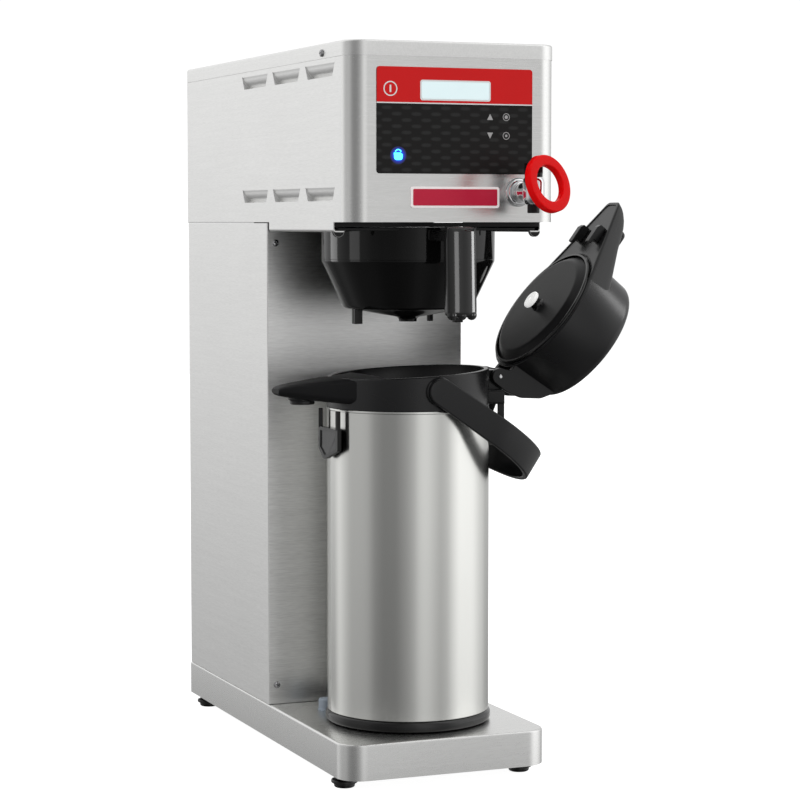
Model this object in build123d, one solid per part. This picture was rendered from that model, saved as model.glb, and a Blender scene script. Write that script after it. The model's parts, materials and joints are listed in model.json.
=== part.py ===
from build123d import *
import os
from math import atan2, cos, degrees, radians, sin, sqrt

os.makedirs("parts", exist_ok=True)

# Commercial coffee brewer with an airpot. Millimetres, Z up from the counter, front towards -Y,
# X = 0 on the centre plane, origin midway between the feet on the counter.

# ---- Driving dimensions ----
WIDTH = 216.0
HALF = WIDTH / 2
SHEET = 1.2                      # stainless sheet
GAP = 0.3                        # clearance between pieces that move apart
FOOT_HEIGHT = 13.0
BASE_HEIGHT = 35.0
BASE_FRONT, BASE_BACK = -246.5, 246.5
BASE_CORNER = 24.0
BASE_TOP = FOOT_HEIGHT + BASE_HEIGHT
HEAD_FRONT, HEAD_BACK = -258.4, 244.0
HEAD_CORNER = 19.7
HEAD_BOTTOM, COVER_BOTTOM, HEAD_TOP = 545.0, 700.7, 715.2
COLUMN_FRONT = -26.8
RAIL_FRONT, RAIL_BACK = -218.6, -33.0
RAIL_LOW, RAIL_LEDGE = 536.0, 11.0   # foot of each basket rail, and how far its ledge reaches in
RAIL_BEND = 5.4                  # radius of the rolled end of each basket rail
BREW_Y = -141.0                  # axis of spray head, basket and airpot
SCREW_RADIUS = 3.6

LOUVRE_LENGTH, LOUVRE_PITCH, LOUVRE_REAR_Y = 81.0, 96.2, 10.5
LOUVRE_HEIGHT, LOUVRE_DEPTH, LOUVRE_SLANT = 12.0, 4.5, 8.0
LOUVRE_TOPS = (578.6, 696.0)

PANEL_HALF, PANEL_BOTTOM, PANEL_TOP = 80.0, 591.0, 690.6
WINDOW_HALF, WINDOW_BOTTOM, WINDOW_TOP = 35.5, 660.4, 678.0
BADGE_HALF, BADGE_BOTTOM, BADGE_TOP = 44.5, 560.7, 577.9

TANK_Y, TANK_RADIUS, TANK_BOTTOM, TANK_TOP = 115.0, 70.0, 300.0, 600.0

FAUCET_X, FAUCET_Z, SPOUT_Y = 65.0, 574.0, -294.5
RING_CENTRE = Vector(65.6, -325.0, 580.9)
RING_NORMAL = Vector(0.378, -0.885, 0.272)
RING_OUTER, RING_INNER, RING_THICKNESS = 27.4, 17.8, 6.5
LEVER_PIN = Vector(FAUCET_X, SPOUT_Y, 597.0)

BASKET_TOP, BASKET_SHOULDER, BASKET_FOOT, BASKET_TIP = 540.0, 506.0, 461.0, 451.0
BASKET_RADIUS, BASKET_FOOT_RADIUS, BASKET_WALL = 86.5, 64.0, 2.5
BASKET_LEG_BOTTOM = 445.4
BASKET_SEAM = 509.0              # where the straight rim is welded to the conical funnel

AIRPOT_FLOOR = BASE_TOP + GAP
CASING_RADIUS, CASING_BOTTOM, CASING_TOP = 80.9, 59.7, 362.5
RING_RADIUS = 82.8
COLLAR_SLOPE = 3.0               # degrees that the collar's top falls towards the beak
COLLAR_TOP_Z = 397.0             # height of that slope on the airpot's axis
HINGE_X, HINGE_Z = 92.0, 391.0
LID_LEAN = 53.4                  # degrees from level of the open lid
LID_CENTRE, LID_RADIUS = 87.0, 72.0
LID_TIP, LID_TIP_HALF = 222.0, 9.0
LID_RIM, LID_TOP = 7.0, 66.0
PIVOT_Z = 382.0
BAIL_LEAN = -33.8
BAIL_INNER, BAIL_THICKNESS, BAIL_ARM, BAIL_WIDTH = 85.3, 4.6, 64.0, 27.0


# ---- Helpers ----
def block(x, y, z):
    """Box between pairs of limits."""
    centre = Pos((x[0] + x[1]) / 2, (y[0] + y[1]) / 2, (z[0] + z[1]) / 2)
    return centre * Box(x[1] - x[0], y[1] - y[0], z[1] - z[0])


def rod(start, end, radius):
    """Cylinder between two points."""
    start, end = Vector(*start), Vector(*end)
    plane = Plane(origin=start, z_dir=end - start)
    return plane * Cylinder(radius, (end - start).length, align=(Align.CENTER, Align.CENTER, Align.MIN))


def ring(start, end, outer, inner):
    """Tube wall between two points."""
    return rod(start, end, outer) - rod(start, end, inner)


def pipe(points, radius, bend):
    """Round bar along straight runs joined by arcs."""
    path = FilletPolyline(*points, radius=bend)
    section = Plane(origin=path @ 0, z_dir=path % 0) * Circle(radius)
    return sweep(section, path=path)


def turned(points, x=0.0, y=0.0):
    """Solid of revolution about a vertical line, from radius-height points."""
    outline = make_face(Polyline(*[(r, 0, z) for r, z in points], close=True))
    return Pos(x, y, 0) * revolve(outline, axis=Axis.Z)


def plan(half, front, back, front_corner, back_corner):
    """Rectangle with its own corner radius at the front and at the back."""
    shape = Pos(0, (front + back) / 2) * Rectangle(2 * half, back - front)
    shape = fillet(shape.vertices().sort_by(Axis.Y)[:2], front_corner)
    return fillet(shape.vertices().sort_by(Axis.Y)[-2:], back_corner)


def slab(sketch, low, high):
    return extrude(Pos(0, 0, low) * sketch, high - low)


def save(name, *solids):
    shape = solids[0] if len(solids) == 1 else Compound(children=list(solids))
    export_step(shape, f"parts/{name}.step")


# ---- Base ----
def base_pan():
    bend, back_corner = 4.0, 3.0
    outer = slab(plan(HALF, BASE_FRONT, BASE_BACK, BASE_CORNER, back_corner), FOOT_HEIGHT, BASE_TOP)
    outer = fillet(outer.edges().group_by(Axis.Z)[-1], bend)
    inside = plan(HALF - SHEET, BASE_FRONT + SHEET, BASE_BACK - SHEET, BASE_CORNER - SHEET, back_corner - SHEET)
    inner = slab(inside, FOOT_HEIGHT, BASE_TOP - SHEET)
    inner = fillet(inner.edges().group_by(Axis.Z)[-1], bend - SHEET)
    pan = outer - inner
    pan -= block((-70, 70), (20, 200), (BASE_TOP - 2 * SHEET, BASE_TOP + 1))
    for x in (-PEG_X, PEG_X):
        pan -= rod((x, PEG_Y, BASE_TOP - 5), (x, PEG_Y, BASE_TOP + 1), 3.0)
    return pan


PEG_X, PEG_Y, PEG_RADIUS, PEG_HEIGHT = 62.7, -70.5, 6.5, 12.0
FOOT_X, FOOT_FRONT_Y, FOOT_BACK_Y, FOOT_RADIUS = 93.0, -206.0, 224.0, 13.0
STIFFENER_THICKNESS = 2.5


def foot_places():
    return [(x, y) for x in (-FOOT_X, FOOT_X) for y in (FOOT_FRONT_Y, FOOT_BACK_Y)]


def base_stiffener():
    low, high = FOOT_HEIGHT, FOOT_HEIGHT + STIFFENER_THICKNESS
    inset = SHEET + 0.2
    outline = plan(HALF - inset, BASE_FRONT + inset, BASE_BACK - inset, BASE_CORNER - inset, 2.0)
    plate = slab(outline, low, high)
    plate -= block((-60, 60), (-180, 180), (low - 1, high + 1))
    for x, y in foot_places():
        plate -= rod((x, y, low - 1), (x, y, high + 1), 4.0)
    return plate


def levelling_feet():
    feet = []
    for x, y in foot_places():
        pad = turned([(0, 0), (11.0, 0), (FOOT_RADIUS, 2.0), (FOOT_RADIUS, 8.0), (9.0, 11.0), (0, 11.0)], x, y)
        nut = extrude(Pos(x, y, 11.0) * RegularPolygon(8.0, 6), FOOT_HEIGHT - 11.0)
        stud = rod((x, y, FOOT_HEIGHT), (x, y, FOOT_HEIGHT + 18.0), 3.9)
        feet.append(pad + nut + stud)
    return feet


def locator_pegs():
    pegs = []
    for x in (-PEG_X, PEG_X):
        peg = rod((x, PEG_Y, BASE_TOP), (x, PEG_Y, BASE_TOP + PEG_HEIGHT), PEG_RADIUS)
        peg = fillet(peg.edges().group_by(Axis.Z)[-1], 1.5)
        pegs.append(peg + rod((x, PEG_Y, BASE_TOP - 8.0), (x, PEG_Y, BASE_TOP), 2.9))
    return pegs


# ---- Column ----
FLANGE = 14.0
COLUMN_SCREW_X, COLUMN_SCREW_LOW, COLUMN_SCREW_HIGH = 99.3, 68.4, 524.3
GLAND_X, GLAND_Z = -55.0, 115.0
INLET_X, INLET_Z = 50.0, 150.0
FRONT_PANEL_THICKNESS = 1.2


def column_wrap():
    """Two sides and the back in one folded sheet, with return flanges behind the front panel."""
    front = COLUMN_FRONT + FRONT_PANEL_THICKNESS
    outer = plan(HALF, front, HEAD_BACK, 0.6, 3.0)
    inner = plan(HALF - SHEET, front + SHEET, HEAD_BACK - SHEET, 0.3, 3.0 - SHEET)
    wrap = slab(outer - inner, BASE_TOP, HEAD_BOTTOM)
    wrap -= block((-HALF + FLANGE, HALF - FLANGE), (front - 1, front + 3), (BASE_TOP - 1, HEAD_BOTTOM + 1))
    wrap -= rod((GLAND_X, HEAD_BACK - 4, GLAND_Z), (GLAND_X, HEAD_BACK + 1, GLAND_Z), 8.2)
    wrap -= rod((INLET_X, HEAD_BACK - 4, INLET_Z), (INLET_X, HEAD_BACK + 1, INLET_Z), 6.2)
    for x, z in column_screw_places():
        wrap -= rod((x, front - 1, z), (x, front + 3, z), 2.1)
    return wrap


def column_screw_places():
    heights = (COLUMN_SCREW_LOW, COLUMN_SCREW_HIGH)
    return [(x, z) for x in (-COLUMN_SCREW_X, COLUMN_SCREW_X) for z in heights]


def column_front_panel():
    panel = block((-HALF, HALF), (COLUMN_FRONT, COLUMN_FRONT + FRONT_PANEL_THICKNESS), (BASE_TOP, HEAD_BOTTOM))
    for x, z in column_screw_places():
        panel -= rod((x, COLUMN_FRONT - 1, z), (x, COLUMN_FRONT + 3, z), 2.1)
    return panel


def screw(place, direction, length=7.0):
    """Pan-head screw: place is the centre of the seat under its head, direction points out of the work."""
    place, direction = Vector(*place), Vector(*direction)
    head = rod(place, place + direction * 2.2, SCREW_RADIUS)
    head = fillet(head.edges().sort_by(Axis(place, direction))[-1], 1.4)
    recess = Plane(origin=place + direction * 1.2, z_dir=direction)
    for size in ((4.0, 0.9), (0.9, 4.0)):
        head -= extrude(recess * Rectangle(*size), 2.0)
    return head + rod(place - direction * length, place, 2.0)


# ---- Head ----
def louvre(side, rear_y, top):
    """The hollow and the pressed metal of one louvre, sunk into a side wall and open along its top."""
    def wedge(grow):
        depth, height = LOUVRE_DEPTH + grow, LOUVRE_HEIGHT + 2 * grow
        profile = make_face(Polyline((0, 0), (depth, 0), (0, -height), close=True))
        half = LOUVRE_LENGTH / 2 + grow
        outline = make_face(Polyline((-half, 0), (half, 0), (half - LOUVRE_SLANT, -height),
                                     (-half + LOUVRE_SLANT, -height), close=True))
        frame = Plane(origin=(side * HALF, rear_y, top), x_dir=(-side, 0, 0), z_dir=(0, side, 0))
        prism = extrude(frame * profile, LOUVRE_LENGTH, both=True)
        face = Plane(origin=(side * HALF, rear_y, top), x_dir=(0, 1, 0), z_dir=(side, 0, 0))
        return prism & extrude(face * outline, LOUVRE_DEPTH * 3, both=True)

    return wedge(0.0), wedge(SHEET)


def head_wrap():
    outer = plan(HALF, HEAD_FRONT, HEAD_BACK, HEAD_CORNER, 0.6)
    inner = plan(HALF - SHEET, HEAD_FRONT + SHEET, HEAD_BACK - SHEET, HEAD_CORNER - SHEET, 0.3)
    wrap = slab(outer - inner, HEAD_BOTTOM, COVER_BOTTOM - 0.2)
    tuck = plan(HALF - SHEET, HEAD_FRONT + SHEET, HEAD_BACK - SHEET, HEAD_CORNER - SHEET, 2.0)
    tuck_in = plan(HALF - 2 * SHEET, HEAD_FRONT + 2 * SHEET, HEAD_BACK - 2 * SHEET, HEAD_CORNER - 2 * SHEET, 0.8)
    wrap += slab(tuck - tuck_in, COVER_BOTTOM - 6, COVER_BOTTOM + 9)
    opening = HALF - FLANGE
    wrap -= block((-opening, opening), (HEAD_BACK - 4, HEAD_BACK + 1), (HEAD_BOTTOM - 1, HEAD_TOP))
    # the rear panel lies flush in the back of the head
    wrap -= block((-HALF - 1, HALF + 1), (HEAD_BACK - SHEET, HEAD_BACK + 1), (HEAD_BOTTOM - 1, HEAD_TOP))
    wrap += block((-86, 86), (HEAD_FRONT + SHEET, HEAD_FRONT + 16), (HEAD_BOTTOM, HEAD_BOTTOM + SHEET))
    for side in (-1, 1):
        wrap += basket_rail(side)
        for row in LOUVRE_TOPS:
            for i in range(3):
                hollow, metal = louvre(side, LOUVRE_REAR_Y - i * LOUVRE_PITCH, row)
                wrap = wrap + metal - hollow
        for y in COVER_SCREW_YS:
            wrap -= rod((side * (HALF - 4), y, COVER_SCREW_Z), (side * HALF, y, COVER_SCREW_Z), 2.1)
    wrap -= rod((FAUCET_X, HEAD_FRONT - 1, FAUCET_Z), (FAUCET_X, HEAD_FRONT + 3, FAUCET_Z), 7.2)
    for x in (-BADGE_HALF + 8, BADGE_HALF - 8):
        z = (BADGE_BOTTOM + BADGE_TOP) / 2
        wrap -= rod((x, HEAD_FRONT - 1, z), (x, HEAD_FRONT + 3, z), 1.5)
    return wrap


def basket_rail(side):
    """The side wall carried on down and folded inwards, to carry the basket's edge; its front end is rolled down."""
    edge, inner = side * HALF, side * (HALF - SHEET)
    wall = block(sorted((edge, inner)), (RAIL_FRONT, RAIL_BACK), (RAIL_LOW, HEAD_BOTTOM))
    ledge = block(sorted((inner, side * (HALF - RAIL_LEDGE))), (RAIL_FRONT, RAIL_BACK), (RAIL_LOW, RAIL_LOW + SHEET))
    centre_x, centre_z = side * (HALF - RAIL_BEND), RAIL_LOW + 0.6
    roll = rod((centre_x, RAIL_FRONT, centre_z), (centre_x, RAIL_FRONT + 4, centre_z), RAIL_BEND)
    roll -= rod((centre_x, RAIL_FRONT - 1, centre_z), (centre_x, RAIL_FRONT + 5, centre_z), RAIL_BEND - SHEET)
    roll -= block((centre_x - 9, centre_x + 9), (RAIL_FRONT - 1, RAIL_FRONT + 5), (centre_z, centre_z + 9))
    return wall + ledge + roll


COVER_SCREW_YS = (-190.3,)
COVER_SCREW_Z = 706.0
REAR_SCREW_X, REAR_SCREW_LOW, REAR_SCREW_HIGH = 101.0, 556.0, 692.0


def top_cover():
    outer = slab(plan(HALF, HEAD_FRONT, HEAD_BACK, HEAD_CORNER, 3.0), COVER_BOTTOM, HEAD_TOP)
    outer = fillet(outer.edges().group_by(Axis.Z)[-1], 2.6)
    inside = plan(HALF - SHEET, HEAD_FRONT + SHEET, HEAD_BACK - SHEET, HEAD_CORNER - SHEET, 1.8)
    inner = slab(inside, COVER_BOTTOM, HEAD_TOP - SHEET)
    inner = fillet(inner.edges().group_by(Axis.Z)[-1], 1.4)
    cover = outer - inner
    for side in (-1, 1):
        for y in COVER_SCREW_YS:
            cover -= rod((side * (HALF - 4), y, COVER_SCREW_Z), (side * (HALF + 1), y, COVER_SCREW_Z), 2.1)
    return cover


def cover_screws():
    return [screw((side * HALF, y, COVER_SCREW_Z), (side, 0, 0), 4.0) for side in (-1, 1) for y in COVER_SCREW_YS]


def rear_screw_places():
    return [(x, z) for x in (-REAR_SCREW_X, REAR_SCREW_X) for z in (REAR_SCREW_LOW, REAR_SCREW_HIGH)]


def rear_panel():
    panel = block((-HALF, HALF), (HEAD_BACK - SHEET, HEAD_BACK), (HEAD_BOTTOM, COVER_BOTTOM - 0.2))
    for x, z in rear_screw_places():
        panel -= rod((x, HEAD_BACK - 3, z), (x, HEAD_BACK + 1, z), 2.1)
    return panel


FLOOR_LOW = 541.2


def head_floor():
    """Black pan under the head, between the rails."""
    half = HALF - SHEET - 0.1
    pan = block((-half, half), (RAIL_FRONT, COLUMN_FRONT - 0.3), (FLOOR_LOW, HEAD_BOTTOM))
    pan -= block((-half + 2, half - 2), (RAIL_FRONT + 2, COLUMN_FRONT - 2.3), (FLOOR_LOW + 1.5, HEAD_BOTTOM + 1))
    pan -= rod((0, BREW_Y, FLOOR_LOW - 1), (0, BREW_Y, HEAD_BOTTOM), 31.0)
    return pan


def spray_head():
    rose = turned([(0, FLOOR_LOW - 0.4), (30.5, FLOOR_LOW - 0.4), (30.5, 544.0), (12.0, 549.0), (12.0, 553.0),
                   (6.0, 553.0), (6.0, 560.0), (0, 560.0)], 0, BREW_Y)
    rose -= rod((0, BREW_Y, 546.0), (0, BREW_Y, 561.0), 3.6)
    for radius, count in ((8.0, 6), (17.0, 10), (25.0, 14)):
        for i in range(count):
            angle = radians(360 * i / count)
            x, y = radius * cos(angle), BREW_Y + radius * sin(angle)
            rose -= rod((x, y, FLOOR_LOW - 1), (x, y, 543.0), 1.0)
    return rose


# ---- Controls ----
def control_panel():
    """Printed overlay on a backing plate, with the display window let into it."""
    middle = (PANEL_BOTTOM + PANEL_TOP) / 2
    front = Plane(origin=(0, HEAD_FRONT, middle), x_dir=(1, 0, 0), z_dir=(0, -1, 0))
    face = extrude(front * RectangleRounded(2 * PANEL_HALF, PANEL_TOP - PANEL_BOTTOM, 3.0), 1.0)
    return face - block((-WINDOW_HALF, WINDOW_HALF), (HEAD_FRONT - 2, HEAD_FRONT), (WINDOW_BOTTOM, WINDOW_TOP))


def display_window():
    return block((-WINDOW_HALF + 0.05, WINDOW_HALF - 0.05), (HEAD_FRONT - 0.9, HEAD_FRONT),
                 (WINDOW_BOTTOM + 0.05, WINDOW_TOP - 0.05))


def control_board():
    """Board on four stand-offs behind the overlay, with its display and main parts."""
    back = HEAD_FRONT + SHEET
    board = block((-72, 72), (back + 14, back + 15.6), (600, 684))
    board += block((-34, 34), (back + 8, back + 14), (662, 678))
    board += block((-55, -25), (back + 15.6, back + 36), (606, 640))
    board += block((10, 30), (back + 15.6, back + 30), (606, 650))
    for x in (45, 58):
        board += rod((x, back + 15.6, 620), (x, back + 30, 620), 5.0)
    for x in (-66, 66):
        for z in (606, 678):
            board += rod((x, back, z), (x, back + 14, z), 3.0)
    return board


def name_badge():
    middle = (BADGE_BOTTOM + BADGE_TOP) / 2
    front = Plane(origin=(0, HEAD_FRONT, middle), x_dir=(1, 0, 0), z_dir=(0, -1, 0))
    badge = extrude(front * RectangleRounded(2 * BADGE_HALF, BADGE_TOP - BADGE_BOTTOM, 2.0), 1.4)
    for x in (-BADGE_HALF + 8, BADGE_HALF - 8):
        badge += rod((x, HEAD_FRONT, middle), (x, HEAD_FRONT + 4, middle), 1.4)
    return badge


def terminal_block():
    body = block((-75, -35), (200, 222), (180, 196))
    for i in range(4):
        body -= rod((-70 + 10 * i, 195, 190), (-70 + 10 * i, 206, 190), 2.5)
    return body + block((-78, -32), (222, HEAD_BACK - SHEET), (184, 192))


def cord_gland():
    """Strain relief bush for the supply cord, which isn't part of the model."""
    start, seat = HEAD_BACK - 12, HEAD_BACK
    bush = rod((GLAND_X, start, GLAND_Z), (GLAND_X, seat, GLAND_Z), 8.1)
    bush += rod((GLAND_X, seat, GLAND_Z), (GLAND_X, seat + 3, GLAND_Z), 11.0)
    cone = Plane(origin=(GLAND_X, seat + 3, GLAND_Z), z_dir=(0, 1, 0))
    bush += cone * Cone(8.5, 6.5, 11.0, align=(Align.CENTER, Align.CENTER, Align.MIN))
    return bush - rod((GLAND_X, start - 1, GLAND_Z), (GLAND_X, seat + 15, GLAND_Z), 4.6)


# ---- Water system ----
INLET_THREAD_RADIUS, INLET_THREAD_LENGTH = 5.56, 12.0
VALVE_BACK = 222.0


def inlet_fitting():
    """Quarter-inch flare fitting through the back of the column."""
    seat = HEAD_BACK
    body = rod((INLET_X, VALVE_BACK, INLET_Z), (INLET_X, seat, INLET_Z), 6.0)
    nut = Plane(origin=(INLET_X, seat, INLET_Z), z_dir=(0, 1, 0))
    body += extrude(nut * RegularPolygon(9.0, 6), 5.0)
    tip = seat + 5 + INLET_THREAD_LENGTH
    body += rod((INLET_X, seat + 5, INLET_Z), (INLET_X, tip, INLET_Z), INLET_THREAD_RADIUS)
    body += Plane(origin=(INLET_X, tip, INLET_Z), z_dir=(0, 1, 0)) * Cone(
        4.8, 3.2, 2.5, align=(Align.CENTER, Align.CENTER, Align.MIN))
    return body - rod((INLET_X, VALVE_BACK - 1, INLET_Z), (INLET_X, tip + 3, INLET_Z), 2.2)


def solenoid_valve(x, y, z):
    """Valve block with its coil above it, centred on x and y, standing on z."""
    body = block((x - 14, x + 14), (y - 17, y + 17), (z, z + 26))
    body += rod((x, y, z + 26), (x, y, z + 32), 7.0)
    return body + block((x - 15, x + 15), (y - 15, y + 15), (z + 32, z + 62))


def inlet_valve():
    valve = solenoid_valve(INLET_X, VALVE_BACK - 17, INLET_Z - 13)
    outlet = INLET_X - 14
    return valve + rod((outlet - 12, VALVE_BACK - 17, INLET_Z), (outlet, VALVE_BACK - 17, INLET_Z), 5.0)


def fill_tube():
    start, end_z = INLET_X - 26, TANK_BOTTOM - 14
    y = VALVE_BACK - 17
    return pipe([(start, y, INLET_Z), (0, y, INLET_Z), (0, y, 230), (0, TANK_Y, 230), (0, TANK_Y, end_z)], 4.0, 12.0)


def hot_water_tank():
    inner = TANK_RADIUS - 1.5
    vessel = turned([(0, TANK_BOTTOM), (TANK_RADIUS, TANK_BOTTOM), (TANK_RADIUS, TANK_TOP - 3),
                     (TANK_RADIUS + 8, TANK_TOP - 3), (TANK_RADIUS + 8, TANK_TOP), (inner, TANK_TOP),
                     (inner, TANK_BOTTOM + 1.5), (0, TANK_BOTTOM + 1.5)], 0, TANK_Y)
    vessel += ring((0, TANK_Y, TANK_BOTTOM - 14), (0, TANK_Y, TANK_BOTTOM), 6.0, 4.0)
    vessel -= rod((0, TANK_Y, TANK_BOTTOM - 1), (0, TANK_Y, TANK_BOTTOM + 3), 4.0)
    for x, z in ((0, BREW_PORT_Z), (FAUCET_PORT_X, FAUCET_PORT_Z)):
        reach = TANK_Y - sqrt(TANK_RADIUS ** 2 - x ** 2)
        vessel += rod((x, reach - 9, z), (x, reach + 1, z), 5.5)
        vessel -= rod((x, reach - 10, z), (x, reach + 4, z), 3.5)
    return vessel


BREW_PORT_Z, FAUCET_PORT_X, FAUCET_PORT_Z = 575.0, 30.0, 560.0


def tank_gasket():
    return ring((0, TANK_Y, TANK_TOP), (0, TANK_Y, TANK_TOP + 2), TANK_RADIUS + 8, TANK_RADIUS - 3)


LID_LOW, LID_HIGH = TANK_TOP + 2, TANK_TOP + 5
ELEMENT_PLACES = ((-26.0, 95.0), (-26.0, 135.0))
PROBE_PLACE, LEVEL_PLACE, THERMOSTAT_PLACE = (0.0, 150.0), (28.0, 150.0), (-45.0, 115.0)


def tank_lid():
    lid = rod((0, TANK_Y, LID_LOW), (0, TANK_Y, LID_HIGH), TANK_RADIUS + 8)
    for x, y in ELEMENT_PLACES:
        for hole_x in (x, -x):
            lid -= rod((hole_x, y, LID_LOW - 1), (hole_x, y, LID_HIGH + 1), 4.1)
    for (x, y), radius in ((PROBE_PLACE, 3.1), (LEVEL_PLACE, 2.6)):
        lid -= rod((x, y, LID_LOW - 1), (x, y, LID_HIGH + 1), radius)
    return lid


def heating_elements():
    return [pipe([(x, y, 622), (x, y, 330), (-x, y, 330), (-x, y, 622)], 4.0, 16.0) for x, y in ELEMENT_PLACES]


def probe(place, radius, tip, head):
    x, y = place
    hexagon = extrude(Pos(x, y, LID_HIGH) * RegularPolygon(head, 6), 7.0)
    return rod((x, y, tip), (x, y, LID_HIGH), radius) + hexagon + rod((x, y, LID_HIGH + 7), (x, y, LID_HIGH + 14), 2.5)


def overheat_thermostat():
    x, y = THERMOSTAT_PLACE
    return rod((x, y, LID_HIGH), (x, y, LID_HIGH + 4), 11.0) + rod((x, y, LID_HIGH + 4), (x, y, LID_HIGH + 14), 8.0)


def brew_valve():
    y_front = TANK_Y - TANK_RADIUS - 9
    return solenoid_valve(0, y_front - 17, BREW_PORT_Z - 13)


def brew_tube():
    """From the brew valve to the spray head."""
    start = TANK_Y - TANK_RADIUS - 9 - 34
    return pipe([(0, start, BREW_PORT_Z), (0, BREW_Y, BREW_PORT_Z), (0, BREW_Y, 560.0)], 3.5, 10.0)


def faucet_tube():
    start = TANK_Y - sqrt(TANK_RADIUS ** 2 - FAUCET_PORT_X ** 2) - 9
    return pipe([(FAUCET_PORT_X, start, FAUCET_PORT_Z), (FAUCET_PORT_X, start - 30, FAUCET_PORT_Z),
                 (FAUCET_X, start - 90, FAUCET_Z), (FAUCET_X, HEAD_FRONT + 28, FAUCET_Z)], 3.5, 10.0)


# ---- Hot water faucet ----
def faucet_shank():
    """Threaded shank through the front of the head, with its lock nut inside."""
    start, end = HEAD_FRONT + 28, HEAD_FRONT - 6
    shank = rod((FAUCET_X, start, FAUCET_Z), (FAUCET_X, end, FAUCET_Z), 7.0)
    nut = Plane(origin=(FAUCET_X, HEAD_FRONT + SHEET, FAUCET_Z), z_dir=(0, 1, 0))
    return shank + extrude(nut * RegularPolygon(11.0, 6), 6.0)


def faucet_bezel():
    """Chrome dome nut against the panel."""
    frame = Plane(origin=(FAUCET_X, HEAD_FRONT, FAUCET_Z), z_dir=(0, -1, 0))
    dome = frame * Cylinder(13.8, 6.0, align=(Align.CENTER, Align.CENTER, Align.MIN))
    dome = fillet(dome.edges().sort_by(Axis.Y)[0], 4.0)
    return dome - rod((FAUCET_X, HEAD_FRONT + 1, FAUCET_Z), (FAUCET_X, HEAD_FRONT - 7, FAUCET_Z), 7.05)


def faucet_body():
    neck = rod((FAUCET_X, HEAD_FRONT - 6, FAUCET_Z), (FAUCET_X, SPOUT_Y + 4, FAUCET_Z), 9.0)
    body = turned([(0, 562.0), (7.0, 562.0), (10.5, 566.0), (10.5, 584.0), (8.0, 588.0), (0, 588.0)],
                  FAUCET_X, SPOUT_Y)
    return neck + body


def faucet_nozzle():
    return ring((FAUCET_X, SPOUT_Y, 554.0), (FAUCET_X, SPOUT_Y, 562.0), 5.8, 3.4)


def faucet_bonnet():
    """Black cap on the valve body, with the fork that holds the lever's pin."""
    cap = rod((FAUCET_X, SPOUT_Y, 588.0), (FAUCET_X, SPOUT_Y, 592.0), 8.5)
    for side in (-1, 1):
        cap += block(sorted((FAUCET_X + side * 4.2, FAUCET_X + side * 7.2)), (SPOUT_Y - 5, SPOUT_Y + 5), (591, 601))
    return cap - rod(LEVER_PIN + Vector(-9, 0, 0), LEVER_PIN + Vector(9, 0, 0), 1.55)


def faucet_pin():
    return rod(LEVER_PIN + Vector(-7.2, 0, 0), LEVER_PIN + Vector(7.2, 0, 0), 1.5)


def faucet_handle():
    """Ring on a short lever that turns on the bonnet's pin."""
    normal = RING_NORMAL.normalized()
    back = RING_CENTRE - normal * (RING_THICKNESS / 2)
    front = RING_CENTRE + normal * (RING_THICKNESS / 2)
    hoop = rod(back, front, RING_OUTER) - rod(back - normal, front + normal, RING_INNER)
    hoop = fillet(hoop.edges(), 1.6)
    up = (Vector(0, 0, 1) - normal * normal.Z).normalized()
    side = normal.cross(up)
    reach = back + up * (RING_INNER + 3.5) + side * -3.0
    hub = rod(LEVER_PIN + Vector(-3.9, 0, 0), LEVER_PIN + Vector(3.9, 0, 0), 4.6)
    lever = rod(LEVER_PIN, reach + normal * 2.5, 3.6)
    bore = rod(LEVER_PIN + Vector(-9, 0, 0), LEVER_PIN + Vector(9, 0, 0), 1.55)
    return hoop + hub + lever - bore


# ---- Brew basket ----
def brew_basket():
    wall = BASKET_WALL
    funnel = turned([
        (BASKET_RADIUS, BASKET_SEAM), (BASKET_RADIUS, BASKET_SHOULDER), (BASKET_FOOT_RADIUS, BASKET_FOOT),
        (9.0, BASKET_TIP), (9.0, 447.4), (4.5, 447.4), (4.5, BASKET_TIP + wall),
        (BASKET_FOOT_RADIUS - 1.2 * wall, BASKET_FOOT + wall), (BASKET_RADIUS - wall, BASKET_SHOULDER + 0.7 * wall),
        (BASKET_RADIUS - wall, BASKET_SEAM)], 0, BREW_Y)
    for x, y, width, depth in ((-54, 0, 8, 10), (54, 0, 8, 10), (-40.3, 38.9, 5, 6), (40.3, 38.9, 5, 6)):
        leg = Pos(x, BREW_Y + y, (BASKET_LEG_BOTTOM + 463.0) / 2) * Box(width, depth, 463.0 - BASKET_LEG_BOTTOM)
        leg -= turned([(0, BASKET_TIP + wall), (BASKET_FOOT_RADIUS - 1.2 * wall, BASKET_FOOT + wall),
                       (BASKET_RADIUS, BASKET_FOOT + 60), (0, BASKET_FOOT + 60)], 0, BREW_Y)
        funnel += leg
    return funnel


HANDLE_HALF, HANDLE_BACK, HANDLE_FRONT, HANDLE_BOTTOM, HANDLE_TOP = 15.1, -265.0, -279.0, 453.0, 541.0
GRIP_BULGE = 33.0                # radius of the grip's front in plan
LOBE_PITCH, LOBE_RADIUS = 10.0, 4.9
HANDLE_LEAN = 2.0                # degrees that the grip leans forward towards its foot


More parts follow.
